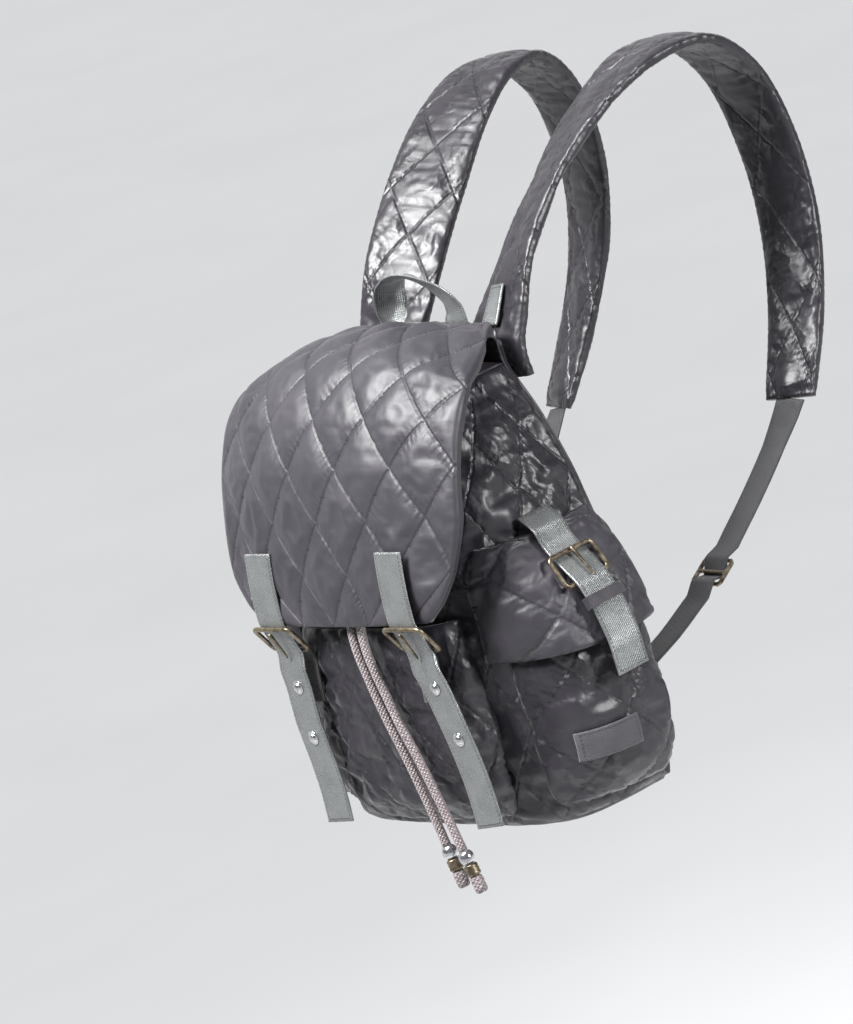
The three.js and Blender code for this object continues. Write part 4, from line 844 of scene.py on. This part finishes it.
LABEL_X, LABEL_ROOM = SIDE_BACK - LABEL_BACK, 4
under_label = [(LABEL_X - LABEL_W / 2 - LABEL_ROOM, LABEL_X + LABEL_W / 2 + LABEL_ROOM,
                LABEL_LOW - LABEL_ROOM, LABEL_LOW + LABEL_H + LABEL_ROOM)]
outer, inner, quilt, pins = pocket_grids(SIDE_W, SIDE_LOW, SIDE_H, SIDE_REACH, on_side, under_label)
outer = settle("side_pocket", outer, pins)
for name, turn in (("right", np.array), ("left", flip_x)):
    padded_piece(f"padded_side_pocket_{name}", turn(outer), turn(inner), quilt, CRINKLED_SHADED, "puffer_nylon",
                 f"side_pocket_{name}")

CAP_TOP = SIDE_LOW + SIDE_H + CAP_RISE
CAP_REACH = SIDE_REACH + POCKET_WALL + CAP_GAP
CAP_QUILT = 2.2


def make_caps():
    cols, rows = 60, 44
    outer, inner, quilt, pins = new_grids(rows, cols)
    for j in range(rows + 1):
        down = (j / rows) ** 1.3
        half = (SIDE_W / 2 + CAP_GAP) * read(CAP, "down", "wide", down)
        reach = max(CAP_THICK * 0.9, CAP_REACH * read(CAP, "down", "out", down))
        stop = min(CAP_THICK + CAP_GAP, reach * 0.55)
        skin = arch(half + CAP_THICK, reach + CAP_THICK, POCKET_CORNER, cols, stop)
        lining = arch(half, reach, POCKET_CORNER, cols, stop)
        high, low = lerp(CAP_TOP, CAP_LOW, down), lerp(CAP_TOP - CAP_THICK, CAP_LOW, down)
        off = min(1, j)
        for i in range(cols + 1):
            u, v = (i / cols - 0.5) * 2.2, down * 1.1 + 0.25
            puff = float(pillow(u, v))
            rim = min(i, cols - i, j, rows - j)
            dent = CAP_QUILT * (1 - puff) * min(1, rim / 3) * min(1, 0.3 + down * 3)
            keep = 1 - dent / max(1e-6, np.hypot(*skin[i]))
            outer[j, i] = on_side(skin[i, 0] * keep, SEAM_GAP + skin[i, 1] * keep * off, high)
            inner[j, i] = on_side(lining[i, 0], SEAM_GAP + lining[i, 1] * off, low)
            quilt[j, i] = (u, v, 0)
            pins[j, i] = rim < 1 or puff < SEAM_PUFF or abs(skin[i, 0]) < WEB_W / 2 + 3
    outer, inner = settle("cap", to_row(outer), pins), to_row(inner)
    for name, turn in (("right", np.array), ("left", flip_x)):
        padded_piece(f"padded_cap_{name}", turn(outer), turn(inner), quilt, PUFFER, "puffer_nylon",
                     f"side_pocket_flap_{name}")


make_caps()


# ---- collar, gathered to the mouth
def make_collar():
    cols, rows = 360, 16

    def outline(inset, rear):
        half = body_half(BODY_HEIGHT) - inset
        skin = arch(half, body_reach(BODY_HEIGHT) - inset, BODY_CORNER, 80, rear)
        places = [[0, -rear]] + [[a, -b] for a, b in skin] + [[0, -rear]]
        return evenly(places, cols)

    def layer(inset, sink):
        low = outline(inset, WALL_REAR + inset)
        angle = np.pi / 2 - np.linspace(0, 2 * np.pi, 321)
        oval = np.stack([(MOUTH_W / 2 - inset) * np.cos(angle),
                         (MOUTH_D / 2 - inset) * np.sin(angle) - MOUTH_BACK - MOUTH_D / 2], 1)
        high = evenly(oval, cols)
        grid = np.zeros((rows + 1, cols, 3))
        for j in range(rows + 1):
            up = j / rows
            z = lerp(BODY_HEIGHT + SEAM_GAP, COLLAR_TOP, up) - sink * math.sin(math.pi * up)
            draw = math.sin(math.pi / 2 * up)
            for i in range(cols):
                x, y = low[i] + (high[i] - low[i]) * draw
                fold = (1 - math.cos(2 * math.pi * GATHERS * i / cols)) / 2
                ripple = 0.5 * math.sin(2 * math.pi * GATHERS * 3.3 * i / cols) * up
                middle = -MOUTH_BACK - MOUTH_D / 2
                keep = 1 - (GATHER_DEPTH * fold + max(0, ripple)) * up / math.hypot(x, y - middle)
                grid[j, i] = (x * keep, middle + (y - middle) * keep, z)
        return to_row(grid)

    collar = shell("gathered_collar", layer(0, 0), layer(COLLAR_WALL, COLLAR_WALL / 2), wraps=True)
    finish_piece(collar, PLAIN, "lining_nylon", "mouth_collar")


make_collar()


# ---- flat padded panels
def panel(name, outline, thickness, place, node_name):
    """Quilted plate: an outline in its own plane, flat inside, with a rolled outer rim."""
    outline = np.asarray(outline, float)
    middle = outline.mean(axis=0)
    rings, n = 48, len(outline)
    top, low = [], []
    for k in range(rings + 1):
        s = k / rings
        rim = math.sqrt(max(0, 1 - max(0, (s - 0.9) / 0.1) ** 2))
        for x, y in (middle + (outline - middle) * s if k else [middle]):
            puff = float(pillow(x / DIAMOND_W, y / DIAMOND_H))
            dip = min(3, thickness * 0.3) * (1 - puff) * min(1, (1 - s) / 0.06)
            top.append((x, y, 0.6 + (thickness - 0.75 - dip) * rim))
            low.append((x, y, 0.1))
    m = len(top)
    faces = []
    for i in range(n):
        e = (i + 1) % n
        faces += [(0, 1 + e, 1 + i), (m, m + 1 + i, m + 1 + e)]
        for k in range(rings - 1):
            a, b = 1 + k * n + i, 1 + k * n + e
            faces += [(a, b, b + n, a + n), (m + a + n, m + b + n, m + b, m + a)]
        a, b = m - n + i, m - n + e
        faces.append((a, b, m + b, m + a))
    obj = outward(add_object(name, to_row([place(*p) for p in top + low]), faces))
    store(obj, "quilt", [(x / DIAMOND_W, y / DIAMOND_H, 0) for x, y, _ in top + low])
    return finish_piece(obj, CRINKLED_SHADED, "lining_nylon", node_name)


def base_outline():
    skin = arch(body_half(0), body_reach(0), BODY_CORNER, 80, WALL_REAR)
    return evenly([[0, -WALL_REAR]] + [[a, -b] for a, b in skin] + [[0, -WALL_REAR]], 150)[:-1]


def back_outline(corner=20):
    right = []
    for z in np.linspace(0, COLLAR_TOP, 60):
        cut = corner * (1 - math.sqrt(1 - max(0, 1 - z / corner) ** 2))
        right.append([body_half(min(z, BODY_HEIGHT)) - cut, z])
    return evenly(right + [[-x, z] for x, z in right[::-1]] + [right[0]], 220)[:-1]


base = panel("padded_base", base_outline() * 0.975, BASE_THICK, lambda x, y, up: (x, y, BASE_THICK - up),
             "base_panel")
back = panel("padded_back", back_outline() * [0.98, 1], BACK_THICK, lambda x, z, up: (x, up - BACK_THICK, z),
             "back_panel")


# ---- webbing
def tape(name, places, wides, width, material, slot, node_name, steps=None):
    """Woven tape through places, with rounded selvedges and its width along wides."""
    if steps:
        path = Curve(places)
        shares = np.linspace(0, 1, steps + 1)
        keys = np.linspace(0, 1, len(places))
        wides = np.stack([np.interp(shares, keys, np.asarray(wides)[:, k]) for k in range(3)], 1)
        places = [path.at(t) for t in shares]
    rim = [(0.85, 1), (0.97, 0.8), (1, 0)]
    cross = [(-x, y) for x, y in rim[::-1]] + [(x, 1) for x in np.linspace(-0.7, 0.7, 9)] + rim
    loop = cross + [(x, -y) for x, y in cross[::-1] if y > 0]
    sections, marks = [], []
    total = 0
    for j, place in enumerate(places):
        run = unit(places[min(j + 1, len(places) - 1)] - places[max(j - 1, 0)])
        if j:
            total += np.linalg.norm(place - places[j - 1])
        wide = unit(wides[j] - run * np.dot(wides[j], run))
        face = np.cross(run, wide)
        sections.append(to_row([place + wide * a * width / 2 + face * b * WEB_THICK / 2 for a, b in loop]))
        marks.append([(a * width / 2, total, width / 2 * (1 - abs(a))) for a, _ in loop])
    marks = np.array(marks)
    ends = np.minimum(marks[:, :, 1], total - marks[:, :, 1])
    marks[:, :, 2] = np.minimum(marks[:, :, 2], ends)
    return finish_piece(loft(name, sections, {"tape": marks}), material, slot, node_name)


X_AXIS, Y_AXIS = vec(1, 0, 0), vec(0, 1, 0)
web_x = WEB_SPACING / 2


def flap_share(along):
    return web_x / (FLAP_WIDTH / 2 * read(SPREAD, "along", "wide", along))


flap_edge = flap_place(flap_share(0.93), 1, 0)
buckle_top = vec(web_x, flap_edge[1] - 2, flap_edge[2] - BUCKLE_BAR / 2)
buckle_lean = unit(vec(0, 0.54, -0.84))
buckle_face = vec(0, buckle_lean[2], -buckle_lean[1])
buckle_low = buckle_top + buckle_lean * BAR_PITCH


def flap_along_at(z):
    low, high = 0.4, 1
    for _ in range(40):
        middle = (low + high) / 2
        if flap_frame(middle)[0][2] > z:
            low = middle
        else:
            high = middle
    return (low + high) / 2


def flap_strap_path(name):
    places = []
    first = flap_along_at(flap_edge[2] + WEB_SEWN)
    for i in range(7):
        along = lerp(first, 0.985, i / 6)
        p = flap_place(flap_share(along), along, -WEB_LIFT - WEB_EASE)
        places.append(vec(0, p[1], p[2]))
    behind = buckle_top - buckle_face * (BAR_LIFT + BAR_EASE)
    over = buckle_low + buckle_face * (BAR_LIFT + BAR_EASE)
    behind[0] = over[0] = 0
    places += [behind, (behind + over) / 2]
    tail = [over] + [over + vec(right if name == "right" else left, -out, -down) * WEB_TAIL
                     for out, down, left, right in TAIL]
    tail = Curve(tail).spaced(10)
    shift = vec(web_x if name == "right" else -web_x, 0, 0)
    return [p + shift for p in places], [p + shift for p in tail]


def wire_frame(name, middle, across, up, node_name):
    """Cast buckle frame: a round-cornered loop of wire, flattened a little."""
    face = unit(np.cross(across, up))
    r, corner, sides = BUCKLE_BAR / 2, BUCKLE_BAR * 1.1, 14
    path = []
    for x, y, first in ((1, 1, 0), (-1, 1, 90), (-1, -1, 180), (1, -1, 270)):
        for a in np.radians(first + np.linspace(0, 90, 11)):
            path.append(((BUCKLE_W / 2 - r - corner) * x + corner * math.cos(a),
                         (BUCKLE_H / 2 - r - corner) * y + corner * math.sin(a)))
    n = len(path)
    verts, faces = [], []
    for k, (a, b) in enumerate(path):
        run = unit(np.subtract(path[(k + 1) % n], path[k - 1]))
        out = across * run[1] - up * run[0]
        for s in range(sides):
            angle = 2 * math.pi * s / sides
            thick = out * r * math.cos(angle) * 1.12 + face * r * math.sin(angle)
            verts.append(middle + across * a + up * b + thick)
            e, f = (s + 1) % sides, (k + 1) % n * sides
            faces.append((k * sides + s, k * sides + e, f + e, f + s))
    obj = outward(add_object(name, to_row(verts), faces))
    return finish_piece(obj, ANTIQUE, "antique_metal", node_name)


def prong(name, heel, tip, across, node_name):
    run = unit(tip - heel)
    face = np.cross(run, across)
    sections = []
    for s in np.linspace(0, 1, 14):
        size = PRONG_W * lerp(1.05, 0.62, s) * (1 if 0.04 < s < 0.97 else 0.6)
        place = heel + (tip - heel) * s
        sections.append(to_row([place + across * math.cos(a) * size / 2 + face * math.sin(a) * size / 2
                                for a in np.linspace(0, 2 * math.pi, 14, endpoint=False)]))
    return finish_piece(loft(name, sections), ANTIQUE, "antique_metal", node_name)


def rivet(name, place, direction, node_name):
    r = RIVET_D / 2
    dome = [(0, 0), (r * 1.35, 0), (r * 1.38, 0.25), (r * 1.2, 0.5), (r * 0.98, 0.5), (r * 0.95, 0.8),
            (r * 0.85, 1.4), (r * 0.62, 1.95), (r * 0.3, 2.3), (0, RIVET_H)]
    return finish_piece(lathe(name, dome, place, direction), BRIGHT, "bright_metal", node_name)


def pocket_rise(across, z, low, height, width, reach):
    """How far a pocket's skin stands off the wall that it is sewn on."""
    up = (z - low) / height
    half = width / 2 * read(POCKET, "up", "wide", up)
    out = (reach + POCKET_WALL) * read(POCKET, "up", "out", up)
    return out * (1 - min(1, abs(across / half)) ** POCKET_CORNER) ** (1 / POCKET_CORNER)


def front_face(x, z):
    rise = pocket_rise(x, z, FRONT_LOW, FRONT_H, FRONT_W, FRONT_REACH)
    return body_front(x, z) + FRONT_SEAT - SEAM_GAP - rise


PIN_LIFT = PRONG_W / 2 + SEAM_GAP
TAB_DROPS = (42, 30, 18, 9)
for name, sign in SIDES:
    shift = vec(sign, 1, 1)
    upper, tail = flap_strap_path(name)
    places = upper + tail
    tape(f"flap_tape_{name}", places, [X_AXIS] * len(places), WEB_W, SILVER, "silver_webbing",
         f"flap_strap_{name}", steps=90)
    middle = (buckle_top + buckle_low) / 2 * shift
    wire_frame(f"flap_frame_{name}", middle, X_AXIS, -buckle_lean, f"flap_buckle_{name}")
    heel = buckle_top + buckle_face * (BUCKLE_BAR / 2 + PIN_LIFT) + buckle_lean * 0.5
    tip = buckle_low + buckle_face * (BAR_LIFT * 2 + PIN_LIFT)
    prong(f"flap_pin_{name}", heel * shift, tip * shift, X_AXIS, f"flap_prong_{name}")
    for word, i in (("upper", 2), ("lower", 5)):
        face = -np.cross(X_AXIS, unit(tail[i + 1] - tail[i - 1]))
        rivet(f"{word}_stud_{name}", tail[i] + face * WEB_LIFT, face, f"{word}_rivet_{name}")
    x = web_x - TAB_W / 4
    high = buckle_low - buckle_face * (BUCKLE_BAR / 2 + SEAM_GAP + WEB_THICK) - buckle_lean * BUCKLE_BAR / 2
    sewn = [vec(x, front_face(x - TAB_W / 2, z) - WEB_LIFT - WEB_EASE, z)
            for z in (buckle_low[2] - drop for drop in TAB_DROPS)] + [vec(x, high[1], high[2])]
    tape(f"buckle_loop_{name}", [p * shift for p in sewn], [X_AXIS] * len(sewn), TAB_W, BLACK, "lining_nylon",
         f"buckle_tab_{name}", steps=24)


# ---- side straps
def cap_height(z):
    down = min(1, max(0, (CAP_TOP - z) / (CAP_TOP - CAP_LOW)))
    reach = max(CAP_THICK * 0.9, CAP_REACH * read(CAP, "down", "out", down))
    return body_side(WEB_W / 2 - SIDE_BACK, z) + SEAM_GAP + reach + CAP_THICK


side_mid = CAP_TOP - SIDE_DROP
side_top = vec(0, -SIDE_BACK, side_mid + BAR_PITCH / 2)
side_top[0] = cap_height(side_top[2]) + 2 * WEB_LIFT + BUCKLE_BAR / 2 + WEB_EASE + BAR_EASE
side_low = vec(0, -SIDE_BACK, side_mid - BAR_PITCH / 2)
side_low[0] = cap_height(side_low[2]) + WEB_LIFT + BUCKLE_BAR / 2
side_up = unit(side_top - side_low)
side_face = vec(side_up[2], 0, -side_up[0])


def side_strap_places():
    top = CAP_TOP + SIDE_WEB_RISE
    behind = side_top - side_face * (BAR_LIFT + BAR_EASE)
    over = side_low + side_face * (BAR_LIFT + BAR_EASE)

    def above_cap(z):
        return vec(cap_height(z) + WEB_LIFT + WEB_EASE, -SIDE_BACK, z)

    hanging = over[0] - cap_height(over[2])
    end = CAP_TOP + SIDE_WEB_RISE - SIDE_TAIL - SIDE_DROP
    places = [vec(body_side(-SIDE_BACK, top) + WEB_LIFT + WEB_EASE, -SIDE_BACK, top), above_cap(CAP_TOP + 2),
              above_cap(lerp(CAP_TOP, behind[2], 0.5)), behind, (behind + over) / 2, over]
    for i in range(1, 11):
        z = lerp(over[2], end, i / 10)
        places.append(vec(cap_height(max(z, CAP_LOW)) + hanging, -SIDE_BACK, z))
    return places


side_places = side_strap_places()
for name, sign in SIDES:
    shift = vec(sign, 1, 1)
    tape(f"side_tape_{name}", [p * shift for p in side_places], [Y_AXIS] * len(side_places), WEB_W, SILVER,
         "silver_webbing", f"side_strap_{name}", steps=80)
    middle = (side_top + side_low) / 2 * shift
    wire_frame(f"side_frame_{name}", middle, Y_AXIS, side_up * shift, f"side_buckle_{name}")
    heel = side_top + side_face * (BUCKLE_BAR / 2 + PIN_LIFT) - side_up * 0.5
    tip = side_low + side_face * (2 * BAR_LIFT + PIN_LIFT)
    prong(f"side_pin_{name}", heel * shift, tip * shift, Y_AXIS, f"side_prong_{name}")
    for node_name, material in ((f"side_keeper_{name}", PLAIN), (f"strap_adjuster_{name}", ANTIQUE)):
        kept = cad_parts[node_name]
        kept.data.materials.clear()
        kept.data.materials.append(material)


# ---- haul loop
def haul_loop():
    half = (HAUL_SPACING - HAUL_W) / 2
    foot = -FLAP_INSET + WEB_LIFT + SEAM_GAP
    low = COLLAR_TOP + 1
    high = low + HAUL_SEWN
    rows = [(-half, foot, low, 0), (-half, foot, high - 2, 0)]
    rows += [(a * half, foot + 1 + b * HAUL_H, high + u * HAUL_H, t) for a, u, b, t in HAUL]
    rows += [(half, foot, high - 2, 0), (half, foot, low, 0)]
    path = Curve([r[:3] for r in rows])
    places, wides = [], []
    for t in np.linspace(0, 1, 97):
        k = min(len(rows) - 2, int(t * (len(rows) - 1)))
        turn = math.radians(lerp(rows[k][3], rows[k + 1][3], t * (len(rows) - 1) - k))
        run = path.tangent(t)
        places.append(path.at(t))
        wides.append(vec(run[2], 0, -run[0]) * math.cos(turn) + Y_AXIS * math.sin(turn))
    tape("haul_tape", places, wides, HAUL_W, SILVER, "silver_webbing", "haul_loop")


haul_loop()

# ---- shoulder straps
strap_root = vec(STRAP_SPACING / 2, 3 * SEAM_GAP + STRAP_T / 2, BODY_HEIGHT + COLLAR_HEIGHT / 3)
strap_points = [strap_root - [0, 0, STRAP_SEWN], strap_root - [0, 0, 2]]
strap_points += [strap_root + np.multiply(r[:3], [STRAP_SPREAD, STRAP_REACH, STRAP_RISE]) for r in STRAP]
strap_curve = Curve(strap_points)
strap_turns = [0, 0] + [r[3] for r in STRAP]
strap_wides = [1, 1] + [r[4] for r in STRAP]


def strap_station(t):
    spot = t * (len(strap_points) - 1)
    k = min(len(strap_points) - 2, int(spot))
    turn = math.radians(lerp(strap_turns[k], strap_turns[k + 1], spot - k))
    run = strap_curve.tangent(t)
    wide = vec(math.cos(turn), math.sin(turn), 0)
    wide = unit(wide - run * np.dot(wide, run))
    width = STRAP_W * lerp(strap_wides[k], strap_wides[k + 1], spot - k)
    return strap_curve.at(t), wide, np.cross(run, wide), width


def make_straps():
    steps, sides = 260, 56
    sections = np.zeros((steps + 1, sides, 3))
    quilt = np.zeros((steps + 1, sides, 3))
    for i in range(steps + 1):
        t = strap_curve.share(i / steps)
        place, wide, face, width = strap_station(t)
        length = strap_curve.length * i / steps
        taper = 1 - 0.45 * max(0, (i / steps - 0.985) / 0.015)
        for k in range(sides):
            a = 2 * math.pi * (k + 0.5) / sides
            c, s = math.cos(a), math.sin(a)
            x = math.copysign(abs(c) ** 0.5, c)
            y = math.copysign(abs(s) ** 0.7, s)
            u, v = x * 0.62, length / DIAMOND_H * 1.1
            puff = float(pillow(np.array(u), np.array(v), 0.5))
            flat = max(0, 1 - abs(x) ** 6)
            crease = noise_at(Vector((x * 1.6, length * 0.07, 4)))
            crease += 0.6 * noise_at(Vector((x * 3.5 + 9, length * 0.16, 7)))
            dent = 2.0 * (1 - puff) * flat
            dent += 1.5 * flat * max(0, 1 - 5 * abs(crease)) * (0.4 + 0.6 * min(1, i / 12))
            pucker = 0.14 * math.sin(length * 1.15 + 2.2 * math.sin(length * 0.21)) * abs(x) ** 3
            h = y * STRAP_T / 2
            if abs(y) > 0.05:
                h = math.copysign(max(0.4, abs(h) * taper - dent + pucker), y)
            across = x * width / 2 * (1 - 0.006 * math.sin(length * 0.9))
            sections[i, k] = place + wide * across + face * h
            quilt[i, k] = (u, v, 0)
    for name, sign in SIDES:
        strap = loft(f"padded_strap_{name}", to_row(sections * vec(sign, 1, 1)), {"quilt": quilt})
        finish_piece(strap, CRINKLED_SHADED, "lining_nylon", f"shoulder_strap_{name}")


make_straps()

# ---- webbing below the pads
pad_place, pad_wide, _, _ = strap_station(1)
pad_run = strap_curve.tangent(1)
web_start = pad_place + pad_run * PAD_GAP
anchor = vec(ANCHOR_SPACING / 2, WEB_LIFT + WEB_EASE, ANCHOR_H)


def strap_web():
    near_anchor = anchor + [0, 4, 8]
    between = [lerp(web_start, near_anchor, np.array(shares)) for shares in STRAP_WEB]
    path = Curve([web_start] + between + [anchor + [0, 1, 6]]).spaced(20) + [anchor - [0, 0, ANCHOR_SEWN]]
    path[0] = pad_place + pad_run * WEB_TUCK
    at = 12
    place = path[at]
    run = unit(path[at + 1] - path[at - 1])
    face = unit(np.cross(unit(X_AXIS - run * run[0]), run))
    swing = ADJ_BAR / 2 + WEB_THICK / 2 + 2 * SEAM_GAP
    woven = [place + run * a * ADJ_H / 2 + face * level * swing for a, level in WEAVE]
    early, late = ([p for p in part if np.linalg.norm(p - place) > ADJ_H * 1.05]
                   for part in (path[:at], path[at + 1:]))
    places = early + woven + late
    wides = [lerp(pad_wide, X_AXIS, min(1, i / 3)) for i in range(len(places))]
    for name, sign in SIDES:
        shift = vec(sign, 1, 1)
        tape(f"strap_tape_{name}", [p * shift for p in places], [w * shift for w in wides], STRAP_WEB_W, BLACK,
             "black_webbing", f"strap_webbing_{name}")


strap_web()

ROOT_TAB_START = 0.13
tab_places, tab_wides = [], []
for i in range(17):
    t = ROOT_TAB_START + ROOT_TAB_L / strap_curve.length * i / 16
    place, wide, face, _ = strap_station(t)
    tab_places.append(place - face * (STRAP_T / 2 + WEB_LIFT + WEB_EASE))
    tab_wides.append(wide)
tape("root_tape", tab_places, tab_wides, ROOT_TAB_W, SILVER, "silver_webbing", "root_tab_right")


# ---- blank label
def make_label():
    cols, rows = 40, 20

    def layer(lift):
        grid = np.zeros((rows + 1, cols + 1, 3))
        for j in range(rows + 1):
            z = LABEL_LOW + j / rows * LABEL_H
            for i in range(cols + 1):
                across = LABEL_X + (i / cols - 0.5) * LABEL_W
                rise = pocket_rise(across, z, SIDE_LOW, SIDE_H, SIDE_W, SIDE_REACH)
                grid[j, i] = on_side(across, SEAM_GAP + rise + lift, z)
        return to_row(grid)

    marks = np.zeros((rows + 1, cols + 1, 3))
    for j in range(rows + 1):
        for i in range(cols + 1):
            a, b = (i / cols - 0.5) * LABEL_W, j / rows * LABEL_H
            marks[j, i] = (a, b, min(LABEL_W / 2 - abs(a), b, LABEL_H - b))
    lift = 2.5 * SEAM_GAP
    label = shell("woven_label", layer(lift + LABEL_T), layer(lift), marks={"tape": marks})
    finish_piece(label, LABEL, "label_cloth", "side_label")


make_label()

# ---- stage and light
FLOOR_DROP, FLOOR_HALF = 1.2, 14
corners = [(x * FLOOR_HALF, y * FLOOR_HALF, -FLOOR_DROP) for x, y in ((-1, -1), (1, -1), (1, 1), (-1, 1))]
floor = add_object("floor", corners, [(0, 1, 2, 3)])
pale = Surface("pale_floor")
pale.colour = ramp(pale.noise(3, 2), (0.3, (0.70, 0.705, 0.71)), (0.7, (0.72, 0.725, 0.73)))
plug(pale.tree, pale.colour, pale.inputs["Base Color"])
pale.inputs["Roughness"].default_value = 0.9
floor.data.materials.append(pale.material)

world = bpy.data.worlds.new("studio")
world.use_nodes = True
tree = world.node_tree
facing = tree.nodes.new("ShaderNodeVectorMath")
facing.operation = "DOT_PRODUCT"
facing.inputs[1].default_value = look
tree.links.new(tree.nodes.new("ShaderNodeTexCoord").outputs["Generated"], facing.inputs[0])
backdrop = ramp(Field(tree, facing.outputs["Value"]), (0.0, (0.11, 0.115, 0.125)), (0.75, (0.84, 0.845, 0.85)))
background = tree.nodes["Background"]
plug(tree, backdrop, background.inputs[0])
background.inputs[1].default_value = 1
scene.world = world


def aimed(name, data, towards):
    lamp = bpy.data.objects.new(name, data)
    lamp.rotation_euler = towards.to_track_quat("-Z", "Y").to_euler()
    scene.collection.objects.link(lamp)
    return lamp


def area_lamp(name, direction, distance, size, power, spread):
    data = bpy.data.lights.new(name, "AREA")
    data.shape, data.size, data.energy, data.spread = "DISK", size, power, math.radians(spread)
    aimed(name, data, -direction).location = AIM + direction.normalized() * distance


area_lamp("key", -look * 0.6 - side * 1.0 + above * 0.75, 2.4, 1.0, 16, 60)
area_lamp("fill", -look * 0.9 + side * 0.8 + above * 0.5, 2.8, 0.5, 10, 80)
sky = bpy.data.lights.new("sky", "SUN")
sky.energy, sky.angle = 2.3, math.radians(30)
aimed("sky", sky, Vector((0, 0, -1)) + side * 0.25 + look * 0.1)
scene.view_settings.view_transform = "Standard"
